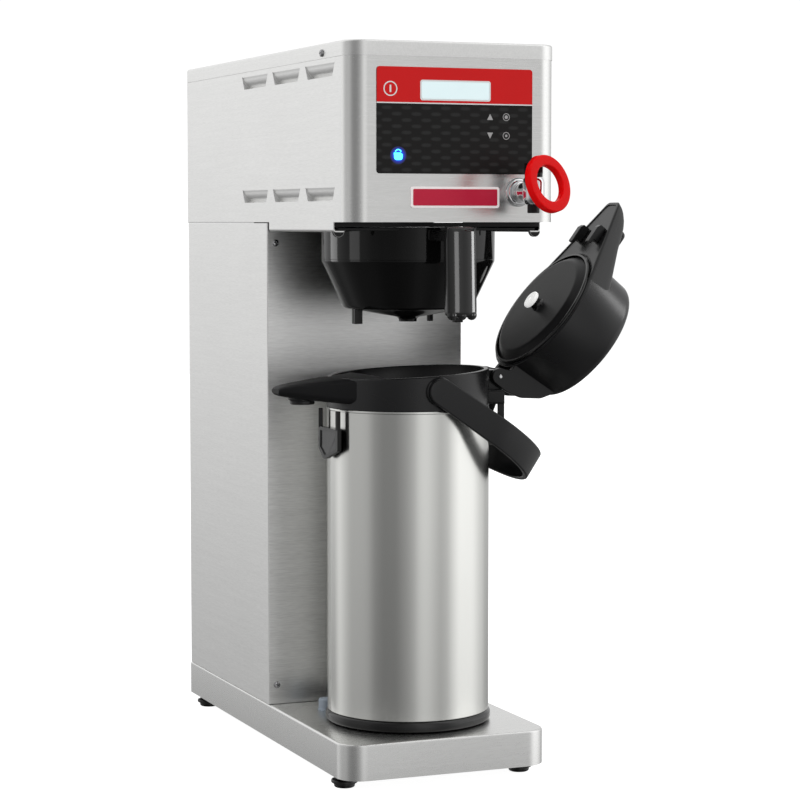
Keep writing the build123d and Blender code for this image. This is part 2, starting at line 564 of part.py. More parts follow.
def basket_handle():
    """Straight rim above the funnel, with the flange that runs on the rails, an arm and an upright grip."""
    height = HANDLE_TOP - HANDLE_BOTTOM - LOBE_RADIUS
    middle = (HANDLE_FRONT + HANDLE_BACK) / 2
    depth = HANDLE_BACK - HANDLE_FRONT
    section = Rectangle(2 * HANDLE_HALF, depth) & Pos(0, GRIP_BULGE - depth / 2) * Circle(GRIP_BULGE)
    section = fillet(section.vertices(), 3.0)
    grip = extrude(section, height)
    grip = fillet(grip.edges().group_by(Axis.Z)[-1], 5.0)
    for i in (-1, 0, 1):
        foot = Pos(i * LOBE_PITCH, -1.6, 0) * Sphere(LOBE_RADIUS)
        grip += foot
    grip = Pos(0, middle, HANDLE_BOTTOM + LOBE_RADIUS) * Rot(-HANDLE_LEAN, 0, 0) * Pos(0, -1.6, 0) * grip
    arm = block((-13.0, 13.0), (middle, BREW_Y - 60), (527.5, 538.0))
    half, plate = 105.0, 2.6
    flange = block((-half, half), (RAIL_FRONT + 1, BREW_Y + 82), (BASKET_TOP - plate, BASKET_TOP))
    frame = arm + flange - rod((0, BREW_Y, 500), (0, BREW_Y, 545), BASKET_RADIUS - 1.0)
    rim = turned([
        (BASKET_RADIUS, BASKET_TOP), (BASKET_RADIUS, BASKET_SEAM), (BASKET_RADIUS - BASKET_WALL, BASKET_SEAM),
        (BASKET_RADIUS - BASKET_WALL, BASKET_TOP)], 0, BREW_Y)
    return grip + frame + rim


def filter_support():
    """Wire insert that holds the paper filter off the funnel's floor."""
    z = 470.0
    hoops = [Pos(0, BREW_Y, z) * Torus(radius, 1.3) for radius in (22.0, 52.0)]
    wires = None
    for i in range(4):
        angle = radians(45 * i)
        reach = Vector(57.0 * cos(angle), 57.0 * sin(angle), 0)
        centre = Vector(0, BREW_Y, z)
        bar = rod(centre - reach, centre + reach, 1.3)
        wires = bar if wires is None else wires + bar
    for hoop in hoops:
        wires += hoop
    return wires


# ---- Airpot ----
def airpot_base():
    foot = rod((0, BREW_Y, AIRPOT_FLOOR), (0, BREW_Y, CASING_BOTTOM), RING_RADIUS)
    foot = fillet(foot.edges(), 4.4)
    return foot - rod((0, BREW_Y, CASING_BOTTOM - 4), (0, BREW_Y, CASING_BOTTOM + 1), 77.0)


def airpot_casing():
    return ring((0, BREW_Y, CASING_BOTTOM), (0, BREW_Y, CASING_TOP), CASING_RADIUS, CASING_RADIUS - 1.0)


NECK_RADIUS, FLASK_WALL = 46.0, 3.0


def vacuum_flask():
    """Insulated bottle, its two walls drawn as one thick wall."""
    wall = FLASK_WALL
    low = CASING_BOTTOM - 4
    return turned([(0, low), (60.0, low), (75.0, low + 15), (75.0, 318.0), (68.0, 340.0), (NECK_RADIUS, 356.0),
                   (NECK_RADIUS, 372.0), (NECK_RADIUS - wall, 372.0), (NECK_RADIUS - wall, 353.0),
                   (66.0, 337.0), (75.0 - wall, 316.0), (75.0 - wall, low + 17), (58.0, low + wall),
                   (0, low + wall)], 0, BREW_Y)


def collar_top_plane():
    return Plane(origin=(0, BREW_Y, COLLAR_TOP_Z), z_dir=(-sin(radians(COLLAR_SLOPE)), 0, cos(radians(COLLAR_SLOPE))))


BEAK_TIP_X = -140.0
NOZZLE_X, NOZZLE_RADIUS, NOZZLE_BOTTOM = -112.0, 12.2, 367.5
DIP_X, DIP_BEND = -34.0, 8.0
DIP_ROUTE = [(DIP_X, BREW_Y, 78.0), (DIP_X, BREW_Y, 382.0), (NOZZLE_X, BREW_Y, 380.0), (NOZZLE_X, BREW_Y, 368.5)]


def beak():
    """Duck-bill pouring beak, tapering in plan and falling towards its tip."""
    side = make_face(Polyline(
        (-55, 394.6), (-79, 393.6), (-106, 391.0), (-134.6, 386.6), (BEAK_TIP_X, 383.0), (-138.4, 377.6),
        (-125, 374.2), (-99, 371.3), (-88, 368.0), (-82, CASING_TOP), (-55, CASING_TOP), close=True))
    frame = Plane(origin=(0, BREW_Y, 0), x_dir=(1, 0, 0), z_dir=(0, -1, 0))
    body = extrude(frame * side, 60, both=True)
    outline = make_face(Polyline((-50, -50), (-55, -46), (BEAK_TIP_X + 2, -9.5), (BEAK_TIP_X, -6.5), (BEAK_TIP_X, 6.5),
                                 (BEAK_TIP_X + 2, 9.5), (-55, 46), (-50, 50), close=True))
    return body & slab(Pos(0, BREW_Y) * outline, CASING_TOP, COLLAR_TOP_Z + 2)


def airpot_collar():
    top = collar_top_plane()
    solid = rod((0, BREW_Y, CASING_TOP), (0, BREW_Y, COLLAR_TOP_Z + 10), CASING_RADIUS)
    solid += beak()
    solid -= top * Box(400, 400, 40, align=(Align.CENTER, Align.CENTER, Align.MIN))
    solid -= rod((0, BREW_Y, 373.0), (0, BREW_Y, 420), CASING_RADIUS - 4.5)
    solid -= rod((0, BREW_Y, CASING_TOP - 1), (0, BREW_Y, 420), NECK_RADIUS + 0.4)
    solid -= pipe(DIP_ROUTE, 4.5, DIP_BEND)
    solid -= rod((NOZZLE_X, BREW_Y, 360.0), (NOZZLE_X, BREW_Y, 376.0), NOZZLE_RADIUS - 3)
    for side in (-1, 1):
        solid += rod((0, BREW_Y + side * 78, PIVOT_Z), (0, BREW_Y + side * (BAIL_INNER - 0.4), PIVOT_Z), 14.0)
        solid += rod((0, BREW_Y + side * 84, PIVOT_Z), (0, BREW_Y + side * (BAIL_INNER + BAIL_THICKNESS), PIVOT_Z), 4.0)
    # the central knuckle of the lid's hinge
    knuckle = block((76.5, HINGE_X), (BREW_Y - 14, BREW_Y + 14), (376.0, HINGE_Z + 6.5))
    knuckle += rod((HINGE_X, BREW_Y - 14, HINGE_Z), (HINGE_X, BREW_Y + 14, HINGE_Z), 6.5)
    solid += knuckle
    return solid - rod((HINGE_X, BREW_Y - 30, HINGE_Z), (HINGE_X, BREW_Y + 30, HINGE_Z), 2.05)


def pour_nozzle():
    return ring((NOZZLE_X, BREW_Y, NOZZLE_BOTTOM), (NOZZLE_X, BREW_Y, 373.5), NOZZLE_RADIUS - 3.05, 5.2) + ring(
        (NOZZLE_X, BREW_Y, NOZZLE_BOTTOM), (NOZZLE_X, BREW_Y, 371.2), NOZZLE_RADIUS, 5.2)


def dip_tube():
    return pipe(DIP_ROUTE, 4.0, DIP_BEND) - rod((NOZZLE_X, BREW_Y, 360), (NOZZLE_X, BREW_Y, 372), 2.5)


def guard(direction, inner, outer, low, leg_top, half_angle):
    """Curved tab with a pointed foot, on two legs, wrapped round the airpot on the side of direction."""
    def sector(half_width, z0, z1):
        reach = 130.0
        edge = radians(half_width)
        fan = make_face(Polyline((0, 0), (reach * cos(edge), -reach * sin(edge)), (reach * cos(edge), reach * sin(edge)),
                                 close=True))
        return slab(fan & (Circle(outer) - Circle(inner)), z0, z1)

    plate_top = low + 28.0
    shape = sector(half_angle, low, leg_top) - sector(half_angle - 3.2, plate_top, leg_top)
    half_width = outer * sin(radians(half_angle)) + 1
    for side in (-1, 1):
        corner = make_face(Polyline((side * half_width, low), (side * half_width, low + 13), (side * 2, low),
                                    close=True))
        shape -= extrude(Plane(origin=(0, 0, 0), x_dir=(0, 1, 0), z_dir=(1, 0, 0)) * corner, 200)
    turn = 0 if direction > 0 else 180
    return Pos(0, BREW_Y, 0) * Rot(0, 0, turn) * shape


LATCH_INNER, LATCH_OUTER, LATCH_LOW, LATCH_TOP, LATCH_ANGLE = 84.4, 89.3, 314.5, 361.5, 17.5
LATCH_PIVOT_X, LATCH_PIVOT_Z = -85.5, 359.5


def lid_latch():
    """Spring latch under the beak: pressing its tab lets go of the hooks on the lid."""
    latch = guard(-1, LATCH_INNER, LATCH_OUTER, LATCH_LOW, LATCH_TOP, LATCH_ANGLE)
    return latch


REST_INNER, REST_OUTER, REST_LOW, REST_TOP, REST_ANGLE = 89.8, 97.2, 320.0, 383.0, 18.5


def handle_rest():
    """Fixed frame under the hinge, which the open lid and the bail lean against."""
    frame = guard(1, REST_INNER, REST_OUTER, REST_LOW, REST_TOP, REST_ANGLE)
    bridge = slab(Circle(REST_OUTER) - Circle(CASING_RADIUS + 0.1), 364.0, 375.5)
    fan = make_face(Polyline((0, 0), (130, -43.4), (130, 43.4), close=True))
    bridge &= slab(fan, 360, 380)
    return frame + Pos(0, BREW_Y, 0) * bridge


def bail_frame():
    lean = radians(BAIL_LEAN)
    return Plane(origin=(0, BREW_Y, PIVOT_Z), x_dir=(cos(lean), 0, sin(lean)), z_dir=(-sin(lean), 0, cos(lean)))


def bail_handle():
    """U-shaped band on two pivots."""
    outer, inner = BAIL_INNER + BAIL_THICKNESS, BAIL_INNER
    shape = Pos(BAIL_ARM, 0) * Circle(outer) + Pos(BAIL_ARM / 2 - 10, 0) * Rectangle(BAIL_ARM + 20, 2 * outer)
    shape -= Pos(BAIL_ARM, 0) * Circle(inner) + Pos(BAIL_ARM / 2 - 20, 0) * Rectangle(BAIL_ARM + 60, 2 * inner)
    band = extrude(shape, BAIL_WIDTH, both=True)
    tip = BAIL_ARM + outer
    edge = make_face(Polyline((0, -13), (tip + 5, -14.5), (tip + 5, 14.5), (0, 13), close=True)) + Circle(13)
    side_view = extrude(Plane(origin=(0, 0, 0), x_dir=(1, 0, 0), z_dir=(0, -1, 0)) * edge, 120, both=True)
    band = band & side_view
    for side in (-1, 1):
        band -= rod((0, side * (inner - 2), 0), (0, side * (outer + 2), 0), 4.3)
    return bail_frame().location * band


# ---- Airpot lid, drawn closed in its own frame: x from the hinge to the beak, z up out of the airpot ----
def lid_frame():
    lean = radians(LID_LEAN)
    return Plane(origin=(HINGE_X, BREW_Y, HINGE_Z), x_dir=(cos(lean), 0, sin(lean)), z_dir=(sin(lean), 0, -cos(lean)))


def teardrop(radius, tip, tip_half):
    """Circle of the lid with straight tangents to its beak."""
    reach, rise = tip - LID_CENTRE, tip_half
    distance = sqrt(reach ** 2 + rise ** 2)
    angle = atan2(rise, reach) + atan2(sqrt(distance ** 2 - radius ** 2), radius)
    touch_x, touch_y = LID_CENTRE + radius * cos(angle), radius * sin(angle)
    wedge = make_face(Polyline((LID_CENTRE, 0), (touch_x, -touch_y), (tip, -tip_half), (tip, tip_half),
                               (touch_x, touch_y), close=True))
    return Pos(LID_CENTRE, 0) * Circle(radius) + wedge


def lid_profile(inset):
    """Side view of the lid's lower part, falling to the beak."""
    points = [(-12, LID_RIM), (-12, 38 - inset), (120, 38 - inset), (150, 31.5 - inset), (178, 26.5 - inset),
              (199, 24.5 - inset), (213, 19 - inset), (LID_TIP + 3 - inset, 9 - inset / 2),
              (LID_TIP + 3 - inset, LID_RIM)]
    outline = make_face(Polyline(*points, close=True))
    return extrude(Plane(origin=(0, 0, 0), x_dir=(1, 0, 0), z_dir=(0, -1, 0)) * outline, 100, both=True)


LID_WALL = 2.5
BUTTON_RADIUS, BUTTON_TOP, BUTTON_TRAVEL = 37.0, 69.0, 22.0
LOCK_X, LOCK_HALF = 149.0, 10.0


def lid_shell():
    outer = extrude(Pos(0, 0, LID_RIM) * teardrop(LID_RADIUS, LID_TIP, LID_TIP_HALF), LID_TOP, taper=4)
    outer &= lid_profile(0.0)
    outer += lid_dome(0.0)
    inner = extrude(Pos(0, 0, LID_RIM) * teardrop(LID_RADIUS - LID_WALL, LID_TIP - 5, LID_TIP_HALF - 3), LID_TOP, taper=4)
    inner &= lid_profile(LID_WALL)
    inner += lid_dome(LID_WALL)
    shell = outer - inner
    catch = block((184, 203), (-8, 8), (22, 35.5))
    shell += fillet(catch.edges().filter_by(Axis.Y).group_by(Axis.Z)[-1], 2.5) - inner
    ears = hinge_ears()
    shell += ears - inner
    shell -= rod((LID_CENTRE, 0, 50), (LID_CENTRE, 0, 80), BUTTON_RADIUS + 0.8)
    shell -= rod((0, -40, 0), (0, 40, 0), 2.05)
    return shell


def lid_dome(inset):
    """Round drum over the flask, with its top rim rounded off."""
    radius, top = LID_RADIUS - 0.4 - inset, LID_TOP - inset
    dome = extrude(Pos(LID_CENTRE, 0, LID_RIM) * Circle(radius), top - LID_RIM, taper=3)
    return fillet(dome.edges().group_by(Axis.Z)[-1], 9.0 - inset)


def hinge_ears():
    """The pair of ears that carry the lid on its pin."""
    side = make_face(Polyline((-8.5, 0), (-8.5, 16), (-5, 30), (4, 45), (12, 54), (22, 60), (34, 60), (34, LID_RIM),
                              (14, LID_RIM), (8.5, 0), close=True)) + Circle(8.5)
    frame = Plane(origin=(0, 0, 0), x_dir=(1, 0, 0), z_dir=(0, -1, 0))
    solid = extrude(frame * side, 21.0, both=True)
    return solid - block((-20, 14.5), (-14.5, 14.5), (-20, 70))


def lid_underside():
    """Plate that closes the lid from below, with its plug and the two hooks for the latch."""
    plate = extrude(Pos(0, 0, LID_RIM - 2.5) * teardrop(LID_RADIUS - 0.5, LID_TIP - 2, LID_TIP_HALF - 1), 2.5)
    plug = rod((LID_CENTRE, 0, -1), (LID_CENTRE, 0, LID_RIM - 2.5), 65.0)
    plug = fillet(plug.edges().group_by(Axis.Z)[0], 3.5)
    shape = plate + plug
    for y in (-19.0, 19.0):
        shape += block((170.0, 188.0), (y - 4, y + 4), (-3.5, LID_RIM - 2.5))
        shape += block((166.0, 170.0), (y - 4, y + 4), (-3.5, 0.5))
    return shape


def lid_gasket():
    seat = rod((LID_CENTRE, 0, 1.0), (LID_CENTRE, 0, LID_RIM - 2.5), 67.5)
    return fillet(seat.edges(), 1.2) - rod((LID_CENTRE, 0, 0), (LID_CENTRE, 0, LID_RIM), 65.0)


def vent_valve():
    return rod((LID_CENTRE, 0, -13), (LID_CENTRE, 0, -1), 4.5)


def vent_cap():
    cap = rod((LID_CENTRE, 0, -16), (LID_CENTRE, 0, -13), 8.6)
    return fillet(cap.edges().group_by(Axis.Z)[0], 0.8)


def bellows():
    """Pump bellows in its pressed state."""
    points = [(0, LID_RIM)]
    low, folds, fold = LID_RIM, 6, 5.0
    for i in range(folds):
        points += [(23.0, low + i * fold), (27.0, low + (i + 0.5) * fold)]
    points += [(23.0, low + folds * fold), (0, low + folds * fold)]
    return Pos(LID_CENTRE, 0, 0) * turned(points)


def pump_button():
    cap = rod((LID_CENTRE, 0, 52), (LID_CENTRE, 0, BUTTON_TOP), BUTTON_RADIUS)
    cap = fillet(cap.edges().group_by(Axis.Z)[-1], 3.0)
    return cap - rod((LID_CENTRE, 0, 50), (LID_CENTRE, 0, BUTTON_TOP - 3), BUTTON_RADIUS - 3)


def pump_lock():
    """Thumb slide on the front of the dome."""
    grip = block((LOCK_X - 10, LOCK_X + 2), (-LOCK_HALF, LOCK_HALF), (LID_TOP + GAP, LID_TOP + 6.5))
    return fillet(grip.edges().filter_by(Axis.Y).group_by(Axis.Z)[-1], 1.5)


def lid_pin():
    return rod((HINGE_X, BREW_Y - 21.6, HINGE_Z), (HINGE_X, BREW_Y + 21.6, HINGE_Z), 2.0)


def in_lid(shape):
    return lid_frame().location * shape


# ---- Every piece ----
save("base_pan", base_pan())
save("base_stiffener", base_stiffener())
save("levelling_feet", *levelling_feet())
save("locator_pegs", *locator_pegs())
save("column_wrap", column_wrap())
save("column_front_panel", column_front_panel())
save("front_panel_screws", *[screw((x, COLUMN_FRONT, z), (0, -1, 0)) for x, z in column_screw_places()])
save("head_wrap", head_wrap())
save("top_cover", top_cover())
save("cover_screws", *cover_screws())
save("rear_panel", rear_panel())
save("rear_panel_screws", *[screw((x, HEAD_BACK, z), (0, 1, 0)) for x, z in rear_screw_places()])
save("head_floor", head_floor())
save("spray_head", spray_head())
save("control_panel", control_panel())
save("display_window", display_window())
save("control_board", control_board())
save("name_badge", name_badge())
save("terminal_block", terminal_block())
save("cord_gland", cord_gland())
save("inlet_fitting", inlet_fitting())
save("inlet_valve", inlet_valve())
save("fill_tube", fill_tube())
save("hot_water_tank", hot_water_tank())
save("tank_gasket", tank_gasket())
save("tank_lid", tank_lid())
save("heating_elements", *heating_elements())
save("temperature_probe", probe(PROBE_PLACE, 3.0, 500.0, 7.0))
save("level_probe", probe(LEVEL_PLACE, 2.5, 540.0, 6.0))
save("overheat_thermostat", overheat_thermostat())
save("brew_valve", brew_valve())
save("brew_tube", brew_tube())
save("faucet_tube", faucet_tube())
save("faucet_shank", faucet_shank())
save("faucet_bezel", faucet_bezel())
save("faucet_body", faucet_body())
save("faucet_nozzle", faucet_nozzle())
save("faucet_bonnet", faucet_bonnet())
save("faucet_pin", faucet_pin())
save("faucet_handle", faucet_handle())
save("brew_basket", brew_basket())
save("basket_handle", basket_handle())
save("filter_support", filter_support())
save("airpot_base", airpot_base())
save("airpot_casing", airpot_casing())
save("vacuum_flask", vacuum_flask())
save("airpot_collar", airpot_collar())
save("pour_nozzle", pour_nozzle())
save("dip_tube", dip_tube())
save("lid_latch", lid_latch())
save("handle_rest", handle_rest())
save("bail_handle", bail_handle())
save("lid_pin", lid_pin())
save("lid_shell", in_lid(lid_shell()))
save("lid_underside", in_lid(lid_underside()))
save("lid_gasket", in_lid(lid_gasket()))
save("vent_valve", in_lid(vent_valve() + vent_cap()))
save("bellows", in_lid(bellows()))
save("pump_button", in_lid(pump_button()))
save("pump_lock", in_lid(pump_lock()))
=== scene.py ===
import json
from math import atan2, ceil, cos, pi, radians, sin, sqrt, tan

import bmesh
import bpy
from mathutils import Matrix, Vector

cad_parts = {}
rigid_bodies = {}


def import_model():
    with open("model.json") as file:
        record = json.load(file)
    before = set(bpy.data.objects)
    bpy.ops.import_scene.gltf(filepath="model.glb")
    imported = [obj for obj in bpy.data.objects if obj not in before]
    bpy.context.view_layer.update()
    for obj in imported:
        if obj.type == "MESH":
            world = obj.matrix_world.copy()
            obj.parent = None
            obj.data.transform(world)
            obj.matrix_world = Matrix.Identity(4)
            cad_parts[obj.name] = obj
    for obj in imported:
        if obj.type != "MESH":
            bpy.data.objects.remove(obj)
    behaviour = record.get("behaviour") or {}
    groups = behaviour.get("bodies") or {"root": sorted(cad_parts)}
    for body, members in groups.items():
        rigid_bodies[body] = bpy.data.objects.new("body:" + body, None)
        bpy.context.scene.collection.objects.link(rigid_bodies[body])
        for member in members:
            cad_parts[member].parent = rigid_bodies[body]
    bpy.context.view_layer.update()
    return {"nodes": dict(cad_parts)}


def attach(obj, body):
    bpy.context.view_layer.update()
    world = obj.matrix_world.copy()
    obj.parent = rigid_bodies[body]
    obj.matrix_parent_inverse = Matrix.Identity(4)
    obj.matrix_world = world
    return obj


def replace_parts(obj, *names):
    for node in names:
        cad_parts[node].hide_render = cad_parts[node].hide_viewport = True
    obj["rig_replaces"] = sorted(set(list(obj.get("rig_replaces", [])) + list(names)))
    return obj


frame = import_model()

# Millimetres, in the CAD frame: X to the right, Y to the back, Z up from the counter.
MM = 0.001
WIDTH = 216
HALF = WIDTH / 2
SHEET = 1.2
BASE_LOW, BASE_TOP = 13, 48
BASE_FRONT, BASE_BACK, BASE_CORNER = -246.5, 246.5, 24
HEAD_FRONT, HEAD_BACK, HEAD_CORNER = -258.4, 244, 19.7
FOOT_X, FOOT_FRONT, FOOT_BACK = 93, -206, 224
PEG_X, PEG_Y, PEG_HEIGHT = 62.7, -70.5, 12
HEAD_LOW, COVER_LOW, HEAD_TOP = 545, 700.7, 715.2
SEAM = 0.5
COLUMN_FRONT = -26.8
RAIL_FRONT, RAIL_BACK, RAIL_LOW, RAIL_LEDGE, RAIL_BEND = -218.6, -33, 536, 11, 5.4
RAIL_FOLD = 2.6
BREW_Y = -141
LOUVRE_LENGTH, LOUVRE_PITCH, LOUVRE_REAR = 81, 96.2, 10.5
LOUVRE_HEIGHT, LOUVRE_SLANT = 13, 7
LOUVRE_ROWS = ((0, 0), (0.05, 0.6), (0.25, 0.9), (0.42, 1.5), (0.58, 2.4), (0.72, 3.5), (0.84, 4.6),
    (0.93, 5.2), (0.97, 5.2), (1, 0))
LOUVRE_TOPS = (578.6, 696)
PANEL_HALF, PANEL_LOW, PANEL_HIGH = 80, 591, 690.6
PANEL_SPLIT = 657.5
BADGE_LOW, BADGE_HIGH, BADGE_HALF = 560.7, 577.9, 44.5
FAUCET_X, FAUCET_Z, SPOUT_Y = 65, 574, -294.5
RING_CENTRE = Vector((65.6, -324.3, 580.9))
RING_NORMAL = Vector((0.378, -0.885, 0.272)).normalized()
LEVER_PIN = Vector((FAUCET_X, SPOUT_Y, 597))
CASING_RADIUS, CASING_LOW, CASING_TOP = 80.9, 59.7, 362.5
POT_FLOOR = 48.3
COLLAR_TOP, COLLAR_SLOPE = 397, radians(3.0)
HINGE_X, HINGE_Z = 92, 391
LID_LEAN = radians(53.4)
LID_CENTRE = 87
PIVOT_Z = 382
BAIL_LEAN = radians(-33.8)
BAIL_RADIUS, BAIL_THICKNESS, BAIL_ARM = 87.6, 4.6, 64
BOTH = (-1, 1)


# ---- Shapes ----
def arc(centre, radius, start, end, count=8):
    """Points on a circle in the plane, angles in degrees."""
    steps = [radians(start + (end - start) * i / count) for i in range(count + 1)]
    return [(centre[0] + radius * cos(a), centre[1] + radius * sin(a)) for a in steps]


def rounded(corners, step=0.13, closed=True):
    """Outline through (x, y, radius) corners, each one turned into an arc."""
    points = []
    last = len(corners) - 1
    for i, (x, y, radius) in enumerate(corners):
        here = Vector((x, y))
        if radius <= 0 or (not closed and i in (0, last)):
            points.append((x, y))
            continue
        before = (Vector(corners[i - 1][:2]) - here).normalized()
        after = (Vector(corners[(i + 1) % len(corners)][:2]) - here).normalized()
        half = before.angle(after) / 2
        centre = here + (before + after).normalized() * (radius / sin(half))
        first = here + before * (radius / tan(half)) - centre
        second = here + after * (radius / tan(half)) - centre
        turn = atan2(first.x * second.y - first.y * second.x, first.dot(second))
        count = max(2, ceil(abs(turn) / step))
        for k in range(count + 1):
            a = turn * k / count
            points.append((centre.x + first.x * cos(a) - first.y * sin(a),
                centre.y + first.x * sin(a) + first.y * cos(a)))
    return points


def block(x0, x1, y0, y1, near, far, step=0.13):
    """Rectangle with one radius at its near corners and another at its far ones."""
    return rounded([(x0, y0, near), (x1, y0, near), (x1, y1, far), (x0, y1, far)], step)


def piece(name, points, faces, material, body, smooth=32, place=None, facing=None):
    """A mesh object that rides on a CAD body; an open sheet is turned to face the given way."""
    mesh = bpy.data.meshes.new(name)
    mesh.from_pydata([tuple(p) for p in points], [], faces)
    if place is not None:
        mesh.transform(place)
    mesh.transform(Matrix.Scale(MM, 4))
    tidy = bmesh.new()
    tidy.from_mesh(mesh)
    bmesh.ops.remove_doubles(tidy, verts=tidy.verts, dist=1e-6)
    bmesh.ops.recalc_face_normals(tidy, faces=tidy.faces)
    if facing is not None and sum(face.normal.dot(facing) * face.calc_area() for face in tidy.faces) < 0:
        bmesh.ops.reverse_faces(tidy, faces=tidy.faces)
    tidy.to_mesh(mesh)
    tidy.free()
    mesh.shade_smooth()
    mesh.set_sharp_from_angle(angle=radians(smooth))
    mesh.materials.append(material)
    thing = bpy.data.objects.new(name, mesh)
    bpy.context.scene.collection.objects.link(thing)
    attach(thing, body)
    return thing


def stand_in(node, slot, *things):
    """New pieces that stand for a CAD node, which is hidden; the slot argument is not used."""
    for thing in things:
        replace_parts(thing, node)


def loft(name, rings, material, body, caps=(True, True), wrap=True, loop=False, **options):
    """Skin over rings of equally many points."""
    count = len(rings[0])
    points = [p for ring in rings for p in ring]
    faces = []
    spans = len(rings) if loop else len(rings) - 1
    for i in range(spans):
        a, b = i * count, ((i + 1) % len(rings)) * count
        for j in range(count if wrap else count - 1):
            k = (j + 1) % count
            faces.append((a + j, a + k, b + k, b + j))
    if caps[0]:
        faces.append(tuple(range(count)))
    if caps[1]:
        faces.append(tuple(range((len(rings) - 1) * count, len(rings) * count)))
    return piece(name, points, faces, material, body, **options)


def lathe(name, profile, material, body, centre=(0, 0), segments=128, **options):
    """Profile of (radius, height) points turned about a vertical line."""
    turns = [2 * pi * i / segments for i in range(segments)]
    rings = [[(centre[0] + r * cos(a), centre[1] + r * sin(a), z) for a in turns] for r, z in profile]
    closed = profile[0] == profile[-1]
    if closed:
        return loft(name, rings[:-1], material, body, caps=(False, False), loop=True, **options)
    return loft(name, rings, material, body, **options)


def stack(name, outline, levels, material, body, caps=(True, True), **options):
    """Rings of outline(inset) at each (height, inset) level."""
    rings = [[(x, y, z) for x, y in outline(inset)] for z, inset in levels]
    return loft(name, rings, material, body, caps=caps, **options)


def plate(name, outline, low, high, material, body, edge=0.0, **options):
    """Flat piece between two heights, with its rims rounded."""
    rings = [[(x, y, low) for x, y in outline], [(x, y, high) for x, y in outline]]
    thing = loft(name, rings, material, body, **options)
    if edge:
        soften(thing, edge)
    return thing


def ribbon(path, thickness):
    """Closed outline of a bent sheet, from its outer face's open path; the metal lies to the left."""
    inner = []
    for i, point in enumerate(path):
        here = Vector(point)
        ways = []
        if i:
            ways.append((here - Vector(path[i - 1])).normalized())
        if i < len(path) - 1:
            ways.append((Vector(path[i + 1]) - here).normalized())
        along = sum(ways, Vector((0, 0))).normalized()
        reach = thickness / max(along.dot(ways[0]), 0.3)
        inner.append((here.x - along.y * reach, here.y + along.x * reach))
    return list(path) + inner[::-1]


def bent(name, path, low, high, thickness, material, body, along_y=False, **options):
    """Bent sheet carried between two heights, or between two depths."""
    outline = ribbon(path, thickness)
    if along_y:
        rings = [[(a, y, b) for a, b in outline] for y in (low, high)]
    else:
        rings = [[(a, b, z) for a, b in outline] for z in (low, high)]
    return loft(name, rings, material, body, **options)


def thicken(thing, thickness, offset=-1.0):
    solid = thing.modifiers.new("sheet", "SOLIDIFY")
    solid.thickness = thickness * MM
    solid.offset = offset
    solid.use_even_offset = True


def soften(thing, width, segments=3, angle=40):
    bevel = thing.modifiers.new("edge", "BEVEL")
    bevel.width = width * MM
    bevel.segments = segments
    bevel.limit_method = "ANGLE"
    bevel.angle_limit = radians(angle)
    bevel.harden_normals = True
    bevel.miter_outer = "MITER_ARC"


def carve(thing, *cutters):
    """Boolean cuts, applied at once so the cutters can go."""
    for cutter in cutters:
        cut = thing.modifiers.new("cut", "BOOLEAN")
        cut.operation = "DIFFERENCE"
        cut.solver = "EXACT"
        cut.object = cutter
    bpy.context.view_layer.update()
    shape = thing.evaluated_get(bpy.context.evaluated_depsgraph_get())
    mesh = bpy.data.meshes.new_from_object(shape)
    thing.modifiers.clear()
    thing.data = mesh
    mesh.set_sharp_from_angle(angle=radians(32))
    for cutter in cutters:
        bpy.data.objects.remove(cutter)
    return thing


def oriented(origin, normal, up=Vector((0, 0, 1))):
    """Matrix whose Z is normal and whose Y is as near to up as it can be."""
    z = Vector(normal).normalized()
    y = (up - z * up.dot(z)).normalized()
    x = y.cross(z)
    turn = Matrix((x, y, z)).transposed().to_4x4()
    return Matrix.Translation(origin) @ turn


def upright(y, way=-1):
    """Matrix that stands a flat plan up in X and Z at depth y, its thickness along Y."""
    return Matrix(((1, 0, 0, 0), (0, 0, way, y), (0, 1, 0, 0), (0, 0, 0, 1)))


FRONT_FACE = oriented(Vector((0, HEAD_FRONT, 0)), (0, -1, 0))


# ---- Materials ----
def tinted(color, factor):
    return tuple(min(1.0, c * factor) for c in color)


class Graph:
    """Short names for the few node kinds that the materials and the world use."""

    def __init__(self, tree):
        self.tree = tree

    def add(self, kind, **inputs):
        node = self.tree.nodes.new(kind)
        for key, value in inputs.items():
            setattr(node, key, value)
        return node

    def link(self, source, target):
        self.tree.links.new(source, target)

    def place(self, scale=(1, 1, 1)):
        where = self.add("ShaderNodeTexCoord")
        mapping = self.add("ShaderNodeMapping")
        mapping.inputs["Scale"].default_value = scale
        self.link(where.outputs["Object"], mapping.inputs["Vector"])
        return mapping.outputs["Vector"]

    def noise(self, scale, detail=2.0, rough=0.55):
        """Noise with its own scale along each axis, in features per metre."""
        node = self.add("ShaderNodeTexNoise")
        node.inputs["Scale"].default_value = 1
        node.inputs["Detail"].default_value = detail
        node.inputs["Roughness"].default_value = rough
        self.link(self.place(scale), node.inputs["Vector"])
        return node.outputs["Fac"]

    def spread(self, value, low, high, start=0.3, end=0.7, curve="LINEAR"):
        node = self.add("ShaderNodeMapRange", interpolation_type=curve)
        for key, number in (("From Min", start), ("From Max", end), ("To Min", low), ("To Max", high)):
            node.inputs[key].default_value = number
        self.link(value, node.inputs["Value"])
        return node.outputs["Result"]

    def ramp(self, value, *stops):
        node = self.add("ShaderNodeValToRGB")
        bands = node.color_ramp.elements
        while len(bands) < len(stops):
            bands.new(0.5)
        for band, (place, color) in zip(bands, stops):
            band.position = place
            band.color = (*color, 1.0)
        self.link(value, node.inputs["Fac"])
        return node.outputs["Color"]

    def math(self, operation, a, b=0.0):
        node = self.add("ShaderNodeMath", operation=operation)
        for socket, value in zip(node.inputs, (a, b)):
            if isinstance(value, (int, float)):
                socket.default_value = value
            else:
                self.link(value, socket)
        return node.outputs[0]


